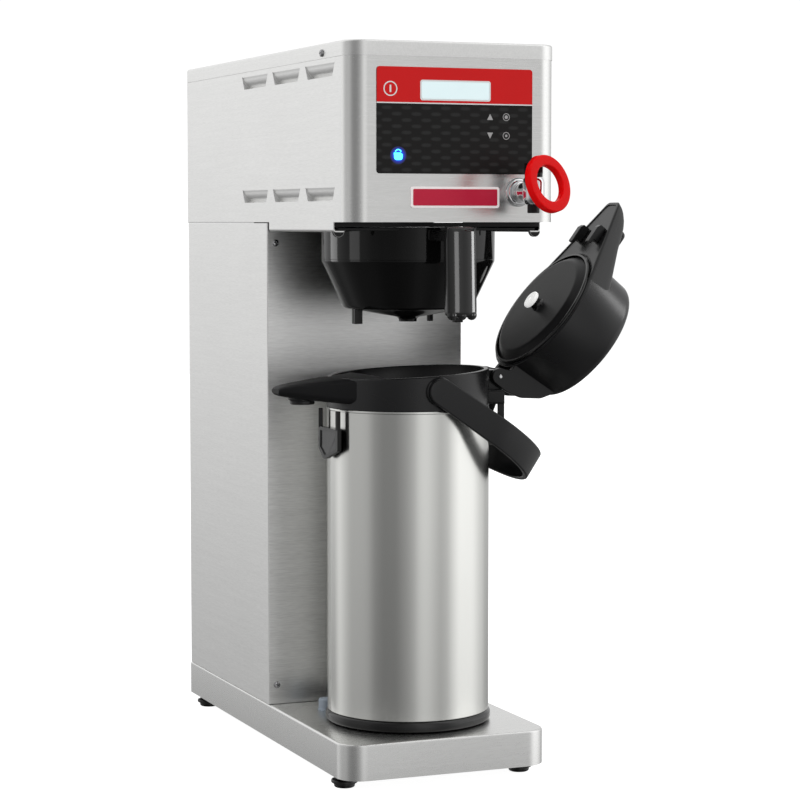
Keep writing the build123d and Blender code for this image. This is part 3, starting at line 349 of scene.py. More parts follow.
class Nodes(Graph):
    """A material with its shader."""

    def __init__(self, name):
        self.material = bpy.data.materials.new(name)
        self.material.use_nodes = True
        super().__init__(self.material.node_tree)
        self.shader = self.tree.nodes["Principled BSDF"]

    def drive(self, name, value):
        self.link(value, self.shader.inputs[name])

    def set(self, **inputs):
        for key, value in inputs.items():
            self.shader.inputs[key.replace("_", " ")].default_value = value

    def bump(self, height, strength, distance):
        node = self.add("ShaderNodeBump")
        node.inputs["Strength"].default_value = strength
        node.inputs["Distance"].default_value = distance
        self.link(height, node.inputs["Height"])
        self.drive("Normal", node.outputs["Normal"])


def brushed(name, color, along, rough=0.3, grain=0.03, contrast=0.035, spin=False, bump=0.008):
    """Brushed stainless: fine short streaks along one axis, with slow cloudy variation."""
    n = Nodes(name)
    scale = [1500, 1500, 1500]
    scale[along] = 90
    streaks = n.noise(scale, detail=2.0, rough=0.6)
    wide = [420, 420, 420]
    wide[along] = 14
    broad = n.noise(wide)
    cloud = n.noise((9, 9, 9))
    mixed = n.math("ADD", n.math("MULTIPLY", streaks, 0.7), n.math("MULTIPLY", broad, 0.3))
    dark, light = tinted(color, 1 - contrast), tinted(color, 1 + contrast)
    n.drive("Base Color", n.ramp(mixed, (0.36, dark), (0.64, light)))
    uneven = n.math("ADD", n.spread(mixed, -grain, grain), n.spread(cloud, rough - 0.01, rough + 0.015))
    n.drive("Roughness", uneven)
    n.set(Metallic=1.0)
    if spin:
        tangent = n.add("ShaderNodeTangent", direction_type="RADIAL", axis="Z")
        n.drive("Tangent", tangent.outputs["Tangent"])
        n.set(Anisotropic=0.85, Anisotropic_Rotation=0.25)
    n.bump(mixed, bump, 0.0002)
    return n.material


def moulded(name, color, rough=0.4, texture=0.05, size=1400, fleck=0.04, specular=0.5):
    """Moulded plastic with a fine spark texture and slight handling wear."""
    n = Nodes(name)
    fine = n.noise((size, size, size))
    wear = n.noise((22, 22, 22), detail=1.0)
    dark, light = tinted(color, 1 - fleck), tinted(color, 1 + fleck)
    n.drive("Base Color", n.ramp(wear, (0.35, dark), (0.7, light)))
    n.drive("Roughness", n.spread(wear, rough - 0.01, rough + 0.02))
    n.set(Specular_IOR_Level=specular)
    n.bump(fine, texture, 0.00006)
    return n.material


def polished(name, color, rough=0.08):
    n = Nodes(name)
    smear = n.noise((60, 60, 60), detail=4.0)
    n.link(n.ramp(smear, (0.3, tinted(color, 0.96)), (0.7, color)),
        n.shader.inputs["Base Color"])
    n.drive("Roughness", n.spread(smear, rough - 0.03, rough + 0.05))
    n.set(Metallic=1.0)
    return n.material


def printed_black(name):
    """Black film printed with staggered rows of soft lozenges."""
    n = Nodes(name)
    pitch_x, pitch_z = 20 * MM, 5.8 * MM
    split = n.add("ShaderNodeSeparateXYZ")
    n.link(n.place(), split.inputs["Vector"])
    rows = n.math("DIVIDE", split.outputs["Z"], pitch_z)
    row = n.math("FLOOR", rows)
    shift = n.math("MULTIPLY", n.math("MODULO", row, 2.0), 0.5)
    across = n.math("FRACT", n.math("ADD", n.math("DIVIDE", split.outputs["X"], pitch_x), shift))
    up = n.math("FRACT", rows)
    wide = n.math("POWER", n.math("ABSOLUTE", n.math("MULTIPLY", n.math("SUBTRACT", across, 0.5), 3.4)),
        3.0)
    tall = n.math("POWER", n.math("ABSOLUTE", n.math("MULTIPLY", n.math("SUBTRACT", up, 0.5), 2.6)), 2.0)
    dash = n.math("ADD", wide, tall)
    grain = n.noise((2600, 2600, 2600), detail=1.0)
    faded = n.math("ADD", dash, n.math("MULTIPLY", n.math("SUBTRACT", grain, 0.5), 0.5))
    color = n.ramp(faded, (0.15, (0.020, 0.020, 0.020)), (1.0, (0.0065, 0.0060, 0.0058)))
    n.drive("Base Color", color)
    n.drive("Roughness", n.spread(grain, 0.3, 0.4))
    n.set(Specular_IOR_Level=0.2)
    n.bump(grain, 0.04, 0.0001)
    return n.material


def film(name, color, rough=0.3, glow=0.0, specular=0.25):
    """Printed or lit film with a faint grain; on parts that are no lamps its glow is painted light."""
    n = Nodes(name)
    grain = n.noise((1800, 1800, 1800))
    cloud = n.noise((30, 30, 30), detail=1.0)
    mixed = n.math("ADD", n.math("MULTIPLY", grain, 0.5), n.math("MULTIPLY", cloud, 0.5))
    shade = n.ramp(mixed, (0.3, tinted(color, 0.96)), (0.7, color))
    n.drive("Base Color", shade)
    n.drive("Roughness", n.spread(grain, rough - 0.02, rough + 0.03))
    n.set(Specular_IOR_Level=specular)
    if glow:
        n.drive("Emission Color", shade)
        n.set(Emission_Strength=glow)
    n.bump(grain, 0.02, 0.0001)
    return n.material


side_steel = brushed("side_steel", (0.82, 0.82, 0.81), along=1, rough=0.34, contrast=0.055)
front_steel = brushed("front_steel", (0.76, 0.76, 0.75), along=0, rough=0.25, bump=0.003)
column_steel = brushed("column_steel", (0.85, 0.85, 0.84), along=0, rough=0.34, contrast=0.09, bump=0.0)
base_steel = brushed("base_steel", (0.74, 0.74, 0.73), along=0, rough=0.28, bump=0.005)
pot_steel = brushed("pot_steel", (0.76, 0.762, 0.735), along=2, rough=0.22, grain=0.01, contrast=0.008,
    spin=True, bump=0.0)
mill_steel = brushed("mill_steel", (0.4, 0.4, 0.4), along=2, rough=0.38)
bright_steel = polished("bright_steel", (0.42, 0.42, 0.43), 0.14)
# Darker copy of polished steel for the rail's rolled end: its low colour is painted shade on the head's
# stainless.
dull_edge = polished("dull_edge", (0.22, 0.22, 0.22), 0.3)
chrome = polished("chrome", (0.85, 0.85, 0.86), 0.06)
peg_steel = moulded("peg_steel", (0.30, 0.345, 0.40), 0.45)
black_plastic = moulded("black_plastic", (0.004, 0.004, 0.0042), 0.35, specular=0.3)
basket_plastic = moulded("basket_plastic", (0.004, 0.004, 0.004), 0.07, texture=0.0, specular=0.25)
grip_plastic = moulded("grip_plastic", (0.010, 0.010, 0.010), 0.08, texture=0.0, specular=0.4)
beak_plastic = moulded("beak_plastic", (0.008, 0.008, 0.0085), 0.5, specular=0.15)
pot_plastic = moulded("pot_plastic", (0.008, 0.008, 0.0085), 0.26, specular=0.35)
lid_plastic = moulded("lid_plastic", (0.010, 0.010, 0.0105), 0.28, specular=0.35)
plug_plastic = moulded("plug_plastic", (0.012, 0.012, 0.0125), 0.36, specular=0.14)
gloss_black = moulded("gloss_black", (0.004, 0.004, 0.004), 0.12)
red_plastic = moulded("red_plastic", (0.76, 0.002, 0.003), 0.24, specular=0.07)
white_plastic = moulded("white_plastic", (0.82, 0.82, 0.8), 0.35)
rubber = moulded("rubber", (0.005, 0.005, 0.005), 0.2, texture=0.1)
brass = polished("brass", (0.7, 0.52, 0.22), 0.25)
copper = polished("copper", (0.72, 0.4, 0.26), 0.3)
board_green = moulded("board_green", (0.02, 0.13, 0.05), 0.45, size=500, fleck=0.4)
panel_black = printed_black("panel_black")
panel_red = film("panel_red", (0.66, 0.005, 0.006), 0.32)
print_white = film("print_white", (0.8, 0.8, 0.8), 0.35)
print_grey = film("print_grey", (0.4, 0.4, 0.4), 0.35)
display_glass = film("display_glass", (0.7, 0.84, 0.86), 0.18, glow=0.32)
# The badge border is no lamp: its glow is painted light that brightens the rim.
badge_rim = film("badge_rim", (0.86, 0.8, 0.8), 0.4, glow=0.15)
badge_crimson = film("badge_crimson", (0.56, 0.014, 0.05), 0.25)
# The vent cap is no lamp: its glow is painted light that makes the white cap brighter.
valve_white = film("valve_white", (0.92, 0.92, 0.91), 0.35, glow=0.55)
cyan_glow = film("cyan_glow", (0.05, 0.55, 1.0), 0.4, glow=4.0)


# ---- Base ----
def box_plan(half, front, back, front_radius, back_radius):
    """Outline function of a plan with rounded corners; an inset draws it smaller."""
    def outline(inset):
        x, y0, y1 = half - inset, front + inset, back - inset
        r0, r1 = max(front_radius - inset, 0.4), max(back_radius - inset, 0.3)
        return block(-x, x, y0, y1, r0, r1)
    return outline


def bent_rim(top, bend, low):
    """Levels of a wall that turns over into a flat top."""
    curve = [(top - bend + bend * sin(a), bend * (1 - cos(a)))
        for a in (radians(9 * i) for i in range(11))]
    return [(low, 0.0)] + curve


def build_base():
    outline = box_plan(HALF, BASE_FRONT, BASE_BACK, BASE_CORNER, 3)
    outer = bent_rim(BASE_TOP, 2.2, BASE_LOW)
    inner = [(z - SHEET if i else z, inset + SHEET) for i, (z, inset) in enumerate(outer)]
    pan = stack("base_shell", outline, inner[::-1] + outer, base_steel, "housing")
    stand_in("base_pan", "stainless", pan)
    for x in (-FOOT_X, FOOT_X):
        for y in (FOOT_FRONT, FOOT_BACK):
            side = "left" if x < 0 else "right"
            end = "front" if y < 0 else "back"
            pad = [(0, 0), (8.8, 0), (9.8, 0.6), (10.2, 1.8), (10.3, 3.4), (10.8, 4), (12.4, 4.4),
                (13, 5.2), (13, 6.8), (12.4, 7.6), (10.4, 8.2), (8.6, 9), (7.8, 10.4), (7.4, 13.2),
                (4, 13.2), (4, 30), (3.2, 31), (0, 31)]
            foot = lathe(f"foot_{end}_{side}", pad, rubber, "housing", (x, y), 64)
            stand_in("levelling_feet", "rubber", foot)
    for x in (-PEG_X, PEG_X):
        top = BASE_TOP + PEG_HEIGHT
        shape = [(0, BASE_TOP - 8), (2.9, BASE_TOP - 8), (2.9, BASE_TOP), (7.4, BASE_TOP),
            (7.4, BASE_TOP + 1), (6.5, BASE_TOP + 1.6)]
        shape += arc((4.3, top - 2.2), 2.2, 0, 90, 8) + [(0, top)]
        peg = lathe(f"locator_peg_{'left' if x < 0 else 'right'}", shape, peg_steel, "housing",
            (x, PEG_Y), 48)
        stand_in("locator_pegs", "screw_steel", peg)


# ---- Column and head ----
def build_column():
    front, flange = COLUMN_FRONT + SHEET, HALF - 14
    path = rounded([(flange, front, 0), (HALF, front, 1.2), (HALF, HEAD_BACK, 3), (-HALF, HEAD_BACK, 3),
        (-HALF, front, 1.2), (-flange, front, 0)], closed=False)
    wrap = bent("column_shell", path, BASE_TOP + 0.4, HEAD_LOW - SEAM, SHEET, side_steel, "housing")
    stand_in("column_wrap", "stainless", wrap)
    door = plate("column_door", block(-HALF, HALF, COLUMN_FRONT, front, 0.9, 0), BASE_TOP + 0.4,
        HEAD_LOW - SEAM, column_steel, "housing")
    soften(door, 0.35, 2)
    stand_in("column_front_panel", "stainless", door)
    for x in (-99.3, 99.3):
        for z in (68.4, 524.3):
            pan_head(f"door_screw_{x > 0:d}{z > 300:d}", Vector((x, COLUMN_FRONT, z)), (0, -1, 0),
                "front_panel_screws")


def pan_head(name, seat, direction, node):
    """Cross-recessed pan-head screw with a dished head."""
    profile = [(0, -4), (1.9, -4), (1.9, 0), (3.6, 0), (3.6, 0.7)]
    profile += arc((2.2, 0.7), 1.4, 0, 60, 6) + [(1.2, 2.15), (0, 2.25)]
    turn = oriented(seat, direction, Vector((0.3, 0.1, 1)))
    head = lathe(name, profile, bright_steel, "housing", segments=40, place=turn)
    cutters = []
    for i, (w, h) in enumerate(((2.1, 0.45), (0.45, 2.1))):
        cutters.append(plate(f"{name}_cut{i}", block(-w, w, -h, h, 0, 0), 1.1, 3, bright_steel, "housing",
            place=turn))
    carve(head, *cutters)
    stand_in(node, "screw_steel", head)


def louvred_wall(side):
    """Points and faces of one side of the head, with six louvres pressed into it."""
    x = side * HALF
    front, back = HEAD_FRONT + HEAD_CORNER, HEAD_BACK - 1
    low, high = HEAD_LOW + SEAM, COVER_LOW + 8
    points, faces = [], []

    def add(*corners):
        start = len(points)
        points.extend(corners)
        faces.append(tuple(range(start, start + len(corners))))

    half = LOUVRE_LENGTH / 2
    centres = [LOUVRE_REAR - i * LOUVRE_PITCH for i in (2, 1, 0)]
    below, lower = low, []
    for top in LOUVRE_TOPS:
        bottom = top - LOUVRE_HEIGHT
        feet = [y + s * (half - LOUVRE_SLANT) for y in centres for s in BOTH]
        heads = [y + s * half for y in centres for s in BOTH]
        edge = [(x, y, below) for y in [front] + lower + [back]]
        if not lower:
            foot = RAIL_LOW + RAIL_FOLD
            rail = [(x, RAIL_FRONT, below), (x, RAIL_FRONT, foot), (x, RAIL_BACK, foot),
                (x, RAIL_BACK, below)]
            edge = edge[:1] + rail + edge[1:]
        add(*edge, *[(x, y, bottom) for y in ([front] + feet + [back])[::-1]])
        ys_low, ys_high = [front] + feet + [back], [front] + heads + [back]
        for i in range(0, len(ys_low) - 1, 2):
            add((x, ys_low[i], bottom), (x, ys_low[i + 1], bottom), (x, ys_high[i + 1], top),
                (x, ys_high[i], top))
        for y in centres:
            ends = []
            for share, depth in LOUVRE_ROWS:
                reach = half - LOUVRE_SLANT * share - 0.35 * depth
                point = (x - side * depth, y, top - share * LOUVRE_HEIGHT)
                ends.append([(point[0], y + s * reach, point[2]) for s in BOTH])
            for (a0, a1), (b0, b1) in zip(ends, ends[1:]):
                add(a0, a1, b1, b0)
            for i in (0, 1):
                add(*[pair[i] for pair in ends])
        below, lower = top, heads
    add(*[(x, y, below) for y in [front] + lower + [back]], (x, back, high), (x, front, high))
    return points, faces


def basket_rail(side, word):
    """Ledge folded in under the side wall, with the rail's rolled front end and a black plate in its
    hollow as painted shade.
    """
    path = [(side * HALF, RAIL_LOW + RAIL_FOLD)]
    for a in (radians(degrees) for degrees in range(10, 91, 10)):
        path.append((side * (HALF - RAIL_FOLD * (1 - cos(a))), RAIL_LOW + RAIL_FOLD * (1 - sin(a))))
    path.append((side * (HALF - RAIL_LEDGE), RAIL_LOW))
    path = path if side < 0 else path[::-1]
    fold = bent(f"rail_ledge_{word}", path, RAIL_FRONT, RAIL_BACK, SHEET, side_steel, "housing", True)
    middle, height = side * (HALF - RAIL_BEND), RAIL_LOW + 0.6
    path = [(middle + RAIL_BEND * cos(radians(a)), height + RAIL_BEND * sin(radians(a)))
        for a in range(180, 361, 12)]
    # The roll's darker steel is painted shade.
    roll = bent(f"rail_roll_{word}", path, RAIL_FRONT, RAIL_FRONT + 4, 0.5, dull_edge, "housing", True)
    # Black plate in the stainless roll's hollow: painted shade, not a part of the rail.
    plug = plate(f"rail_plug_{word}", path, 0.6, 3.6, black_plastic, "housing",
        place=upright(RAIL_FRONT, 1))
    stand_in("head_wrap", "stainless", fold, roll, plug)


def build_head():
    for side, word in ((-1, "left"), (1, "right")):
        points, faces = louvred_wall(side)
        wall = piece(f"head_side_{word}", points, faces, side_steel, "housing", smooth=60,
            facing=Vector((side, 0, 0)))
        soften(wall, 0.6, 2, 50)
        wall.modifiers["edge"].harden_normals = False
        thicken(wall, SHEET)
        even = wall.modifiers.new("even", "WEIGHTED_NORMAL")
        even.mode = "FACE_AREA"
        even.weight = 100
        even.keep_sharp = True
        stand_in("head_wrap", "stainless", wall)
        basket_rail(side, word)
    low, high = HEAD_LOW + SEAM, COVER_LOW + 8
    start = HEAD_FRONT + HEAD_CORNER
    path = [(-HALF, start)] + rounded([(-HALF, start, 0), (-HALF, HEAD_FRONT, HEAD_CORNER - 0.01),
        (HALF, HEAD_FRONT, HEAD_CORNER - 0.01), (HALF, start, 0)], 0.06, False)
    wrap = bent("head_front", path, low, high, SHEET, front_steel, "housing")
    stand_in("head_wrap", "stainless", wrap)
    outline = box_plan(HALF + 0.6, HEAD_FRONT - 0.6, HEAD_BACK + 0.4, HEAD_CORNER + 0.6, 2.5)
    outer = bent_rim(HEAD_TOP, 2.6, COVER_LOW)
    inner = [(z - SHEET if i else z, inset + SHEET) for i, (z, inset) in enumerate(outer)]
    cover = stack("cover_shell", outline, inner[::-1] + outer, side_steel, "housing")
    stand_in("top_cover", "stainless", cover)
    for side in BOTH:
        seat = Vector((side * (HALF + 0.6), -190.3, 706))
        pan_head(f"cover_screw_{side > 0:d}", seat, (side, 0, 0), "cover_screws")
    for x in (-101, 101):
        for z in (556, 692):
            pan_head(f"rear_screw_{x > 0:d}{z > 600:d}", Vector((x, HEAD_BACK, z)), (0, 1, 0),
                "rear_panel_screws")


# ---- Control panel and badge ----
def on_front(name, outline, low, high, material, node, slot, edge=0.0):
    """Flat print or plate on the head's front: outline in X and Z, heights out of the front."""
    thing = plate(name, outline, low, high, material, "housing", edge=edge, place=FRONT_FACE)
    stand_in(node, slot, thing)
    return thing


def frame_box(half, low, high, radius, middle=0.0):
    return block(middle - half, middle + half, low, high, radius, radius, 0.2)


def hoop(name, x, z, outer, inner, low, high, material):
    """Flat printed ring on the panel."""
    profile = [(outer, low), (outer, high), (inner, high), (inner, low), (outer, low)]
    turn = FRONT_FACE @ Matrix.Translation((x, z, 0))
    thing = lathe(name, profile, material, "housing", segments=48, place=turn)
    stand_in("control_panel", "panel_print", thing)
    return thing


def build_panel():
    lift = 1.0
    ink = lift + 0.12
    on_front("panel_film", frame_box(PANEL_HALF, PANEL_LOW, PANEL_HIGH, 3), 0, lift, panel_black,
        "control_panel", "panel_print", 0.25)
    band = block(-PANEL_HALF, PANEL_HALF, PANEL_SPLIT, PANEL_HIGH, 0, 3, 0.2)
    on_front("panel_band", band, 0, ink, panel_red, "control_panel", "panel_print", 0.2)
    line = block(-PANEL_HALF, PANEL_HALF, PANEL_SPLIT - 1.1, PANEL_SPLIT, 0, 0)
    on_front("panel_line", line, 0, ink, print_white, "control_panel", "panel_print")
    on_front("display_frame", frame_box(36.2, 659.6, 678.8, 2.4), ink - 0.05, ink + 0.1, print_white,
        "display_window", "display")
    on_front("display_face", frame_box(34.6, 661.2, 677.2, 1.6), ink, ink + 0.2, display_glass,
        "display_window", "display")
    hoop("power_ring", -66.4, 670, 7, 5.9, ink - 0.05, ink + 0.1, print_white)
    on_front("power_bar", frame_box(0.85, 666.6, 673.4, 0.4, -66.4), ink - 0.05, ink + 0.1, print_white,
        "control_panel", "panel_print")
    for z, point in ((645.2, 1), (627.5, -1)):
        arrow = rounded([(35.7 - 3, z - point * 2.9, 0.2), (35.7 + 3, z - point * 2.9, 0.2),
            (35.7, z + point * 2.9, 0.2)])
        on_front(f"arrow_{'up' if point > 0 else 'down'}", arrow, lift - 0.05, ink, print_grey,
            "control_panel", "panel_print")
        word = "high" if point > 0 else "low"
        hoop(f"key_ring_{word}", 52.6, z, 3.6, 3.0, lift - 0.05, ink, print_grey)
        hoop(f"key_dot_{word}", 52.6, z, 1.7 if point > 0 else 1.2, 0.1, lift - 0.05, ink, print_grey)
    build_pot_light(-58.4, 608, lift)


def build_pot_light(x, z, lift):
    """The lit pot symbol: a round body with a rim and a handle loop over it, in a soft halo."""
    n = Nodes("halo")
    away = n.add("ShaderNodeVectorMath", operation="DISTANCE")
    n.link(n.place(), away.inputs[0])
    away.inputs[1].default_value = (x * MM, (HEAD_FRONT - lift) * MM, z * MM)
    fade = n.ramp(n.math("DIVIDE", away.outputs["Value"], 9 * MM), (0.0, (0.0, 0.16, 1.0)),
        (0.45, (0.0, 0.05, 0.75)), (0.75, (0.0, 0.006, 0.16)), (1.0, (0.0, 0.0, 0.0)))
    n.drive("Emission Color", fade)
    n.set(Emission_Strength=1.3, Base_Color=(0.009, 0.009, 0.01, 1), Roughness=0.35)
    hoop("pot_halo", x, z, 8.2, 0.05, lift - 0.05, lift + 0.04, n.material)
    body = rounded([(x - 3.9, z - 4.4, 2.4), (x + 3.9, z - 4.4, 2.4), (x + 4.4, z + 0.8, 1.6),
        (x + 2.4, z + 2.4, 0.5), (x - 4.6, z + 2.4, 0.3)], 0.3)
    on_front("pot_symbol", body, lift, lift + 0.12, cyan_glow, "control_panel", "panel_print")
    loop = arc((x, z + 2.4), 3.4, 20, 165, 12) + arc((x, z + 2.4), 2.5, 165, 20, 12)
    on_front("pot_loop", loop, lift, lift + 0.12, cyan_glow, "control_panel", "panel_print")


def build_badge():
    on_front("badge_border", frame_box(BADGE_HALF + 1.2, BADGE_LOW - 1.9, BADGE_HIGH + 1, 2.6), 0, 1.2,
        badge_rim, "name_badge", "badge", 0.3)
    on_front("badge_face", frame_box(BADGE_HALF - 1.1, BADGE_LOW + 0.4, BADGE_HIGH - 1.2, 1.2), 1.1, 1.4,
        badge_crimson, "name_badge", "badge", 0.1)


# ---- Faucet ----
def build_faucet():
    axis = oriented(Vector((FAUCET_X, HEAD_FRONT, FAUCET_Z)), (0, -1, 0))
    dome = [(7.05, 0), (13.6, 0), (13.8, 0.5), (13.8, 2.2)] + arc((9.8, 2.2), 4.0, 0, 62, 8)
    dome += [(10.2, 5.9), (9.6, 5.6), (9.4, 5.9), (8.6, 6.0), (7.05, 6.0), (7.05, 0)]
    bezel = lathe("faucet_dome", dome, chrome, "housing", segments=96, place=axis)
    stand_in("faucet_bezel", "chrome", bezel)
    out = HEAD_FRONT - SPOUT_Y
    neck = [(0, 5), (9.4, 5), (9.8, 5.6), (9.8, 9), (9.2, 9.8), (8.4, 10.2), (8.2, 14), (9.2, 15.5),
        (9.2, 21), (8.6, 22.4), (8.6, out - 2), (0, out - 2)]
    stem = lathe("faucet_neck", neck, chrome, "housing", segments=72, place=axis)
    barrel = [(0, 561.6), (6.4, 561.6), (8.2, 562.6), (9.4, 564.4), (10.2, 566.6), (10.4, 569),
        (10.4, 583), (9.8, 585.4), (8.4, 587.4), (0, 588)]
    body = lathe("faucet_barrel", barrel, chrome, "housing", (FAUCET_X, SPOUT_Y), 72)
    stand_in("faucet_body", "chrome", stem, body)
    tip = [(3.4, 554.2), (5.2, 554.0), (5.8, 554.6), (5.8, 562), (3.4, 562), (3.4, 554.2)]
    nozzle = lathe("faucet_spout", tip, black_plastic, "housing", (FAUCET_X, SPOUT_Y), 64)
    stand_in("faucet_nozzle", "black_plastic", nozzle)
    build_ring_handle()


def build_ring_handle():
    """Thick ring with softly rounded rims and a lever up to the bonnet's pin."""
    place = oriented(RING_CENTRE, RING_NORMAL)
    outer, inner, half, soft = 27.6, 17.6, 3.7, 1.2
    profile = block(inner, outer, -half, half, soft, soft, 0.3)
    ring = lathe("ring_pull", profile + profile[:1], red_plastic, "faucet_lever", segments=160,
        place=place)
    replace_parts(ring, "faucet_handle")
    up = place.to_3x3() @ Vector((0, 1, 0))
    root = RING_CENTRE + up * (inner + 3.5) - RING_NORMAL * half
    start = LEVER_PIN.copy()
    middle = start + Vector((0, -5, 3.5))
    path = [start, middle, root + Vector((0, 4, 3)), root + RING_NORMAL * 2]
    lever = swept("ring_lever", path, [4.4, 5.0, 7.4, 7.8], 0.62, red_plastic, "faucet_lever")
    hub = oriented(LEVER_PIN - Vector((3.9, 0, 0)), (1, 0, 0))
    eye = rounded([(1.6, 0, 0), (5, 0, 0.6), (5, 7.8, 0.6), (1.6, 7.8, 0)], 0.3)
    boss = lathe("ring_hub", eye + eye[:1], red_plastic, "faucet_lever", segments=48, place=hub)
    stand_in("faucet_handle", "red_plastic", ring, lever, boss)


def swept(name, path, radii, squash, material, body, sides=28, steps=24):
    """Smooth tube through points, with its own radius at each of them."""
    def spline(values, t):
        span = t * (len(values) - 1)
        i = min(int(span), len(values) - 2)
        u = span - i
        p = [values[max(0, min(len(values) - 1, i + k))] for k in (-1, 0, 1, 2)]
        return 0.5 * ((2 * p[1]) + (p[2] - p[0]) * u + (2 * p[0] - 5 * p[1] + 4 * p[2] - p[3]) * u * u
            + (3 * p[1] - p[0] - 3 * p[2] + p[3]) * u ** 3)

    rings = []
    for s in range(steps + 1):
        t = s / steps
        here, ahead = spline(path, t), spline(path, min(1.0, t + 0.01))
        back = spline(path, max(0.0, t - 0.01))
        turn = oriented(here, ahead - back, Vector((0, 0.3, 1)))
        radius = spline(radii, t)
        if s in (0, steps):
            radius *= 0.55
        ring = [(radius * cos(2 * pi * k / sides), radius * squash * sin(2 * pi * k / sides), 0)
            for k in range(sides)]
        rings.append([turn @ Vector(p) for p in ring])
    return loft(name, rings, material, body)


# ---- Brew basket ----
def build_basket():
    profile = [(83.8, 509), (86, 509), (86.1, 508.8), (86.05, 507.6), (85.8, 506.6), (85.4, 505.7)]
    profile += [(84.9, 504.7), (65.9, 464.7), (65.2, 463.3), (64.6, 462.2), (63.8, 461.4), (62.6, 460.8),
        (61.6, 460.5)]
    profile += [(12, 452), (9.6, 450.6), (9, 449.4), (9, 447.6), (8.6, 447.2), (4.5, 447.2), (4.5, 452.4),
        (12, 454), (61.6, 463.2), (62.6, 463.8), (82.6, 506.6), (83.2, 508)]
    profile += [(83.8, 509)]
    cone = lathe("basket_funnel", profile, basket_plastic, "basket", (0, BREW_Y), 160)
    band = [(86.1, 509.2), (86.15, 510.2), (86.4, 536), (86.45, 538), (86.5, 539.5), (86.5, 540),
        (84.1, 540), (84.1, 509.1), (85.9, 509.1), (86.1, 509.2)]
    rim = lathe("basket_funnel_rim", band, basket_plastic, "basket", (0, BREW_Y), 160)
    half, front, back = 105, RAIL_FRONT + 1, BREW_Y + 82
    flange = plate("basket_flange", block(-half, half, front, back, 4, 10), 537.4, 540, black_plastic,
        "basket")
    hole = lathe("flange_hole", [(0, 530), (84.5, 530), (84.5, 545), (0, 545)], black_plastic, "basket",
        (0, BREW_Y), 160)
    carve(flange, hole)
    soften(flange, 0.5, 2)
    for thing, node in ((cone, "brew_basket"), (rim, "basket_handle"), (flange, "basket_handle")):
        stand_in(node, "black_plastic", thing)
    for x, y, width, depth in ((-54, 0, 8, 10), (54, 0, 8, 10), (-40.3, 38.9, 5, 6), (40.3, 38.9, 5, 6)):
        across, along = width / 2, depth / 2
        outline = block(x - across, x + across, BREW_Y + y - along, BREW_Y + y + along, 0.9, 0.9, 0.4)
        word = f"{'left' if x < 0 else 'right'}_{'back' if y else 'middle'}"
        leg = plate(f"basket_leg_{word}", outline, 445.4, 463, basket_plastic, "basket", edge=0.6)
        stand_in("brew_basket", "black_plastic", leg)
    build_basket_handle()


def grip_plan(inset):
    """Plan of the grip: flat back, softly bulging front."""
    half, depth, bulge = 15.1, 7.0, 33.0
    front = [(x, depth - sqrt(bulge ** 2 - x ** 2) + bulge - 2 * depth, 0) for x in range(-11, 12, 2)]
    edge = bulge - depth - sqrt(bulge ** 2 - half ** 2)
    corners = [(half, edge, 3), (half, depth, 3), (-half, depth, 3), (-half, edge, 3)] + front
    scale_x, scale_y = (half - inset) / half, (depth - inset) / depth
    return [(x * scale_x, y * scale_y) for x, y in rounded(corners, 0.1)]


def build_basket_handle():
    """Grip that leans forward a little, with three lobes at its foot, on its arm."""
    foot, height = 457.9, 83.1
    place = Matrix.Translation((0, -272, foot)) @ Matrix.Rotation(radians(-2), 4, "X")
    place = place @ Matrix.Translation((0, -1.6, 0))
    levels = [(-1.2, 3.2), (-0.8, 1.6), (0.2, 0.6), (2, 0.1), (4, 0)]
    levels += [(height - 5 + 5 * sin(radians(a)), 5 * (1 - cos(radians(a)))) for a in range(0, 91, 10)]
    rings = [[(x, y, z) for x, y in grip_plan(inset)] for z, inset in levels]
    grip = loft("basket_grip", rings, grip_plastic, "basket", place=place)
    pieces = [grip]
    for i in (-1, 0, 1):
        ball = [(4.9 * cos(radians(a)), 4.9 * sin(radians(a))) for a in range(-90, 31, 10)] + [(0, 2.45)]
        turn = place @ Matrix.Translation((i * 10, -1.6, 0))
        pieces.append(lathe(f"basket_grip_lobe_{i + 2}", ball, grip_plastic, "basket", segments=40,
            place=turn))
    arm = block(-13, 13, -272, -222.5, 2, 0)
    pieces.append(plate("basket_arm", arm, 527.5, 537.3, grip_plastic, "basket", edge=1.6))
    stand_in("basket_handle", "black_plastic", *pieces)


# ---- Airpot ----
def build_pot():
    axis = (0, BREW_Y)
    low, high = POT_FLOOR, CASING_LOW
    foot = [(0, low), (76, low)] + arc((78.4, low + 4.4), 4.4, -90, 0, 8)
    foot += arc((78.4, high - 4.4), 4.4, 0, 74, 8) + [(77.2, high), (77, high - 3), (0, high - 3)]
    base = lathe("pot_foot", foot, gloss_black, "airpot", axis, 160)
    stand_in("airpot_base", "black_plastic", base)
    r = CASING_RADIUS
    skin = [(r - 1.6, CASING_LOW), (r - 0.6, CASING_LOW), (r - 0.1, CASING_LOW + 0.6),
        (r, CASING_LOW + 1.4), (r, CASING_TOP - 2.4), (r + 0.25, CASING_TOP - 2),
        (r + 0.3, CASING_TOP - 1), (r, CASING_TOP), (r - 1.6, CASING_TOP), (r - 1.6, CASING_LOW)]
    casing = lathe("pot_casing", skin, pot_steel, "airpot", axis, 256)
    stand_in("airpot_casing", "stainless", casing)
    build_collar()


def collar_height(x):
    return COLLAR_TOP + x * tan(COLLAR_SLOPE)


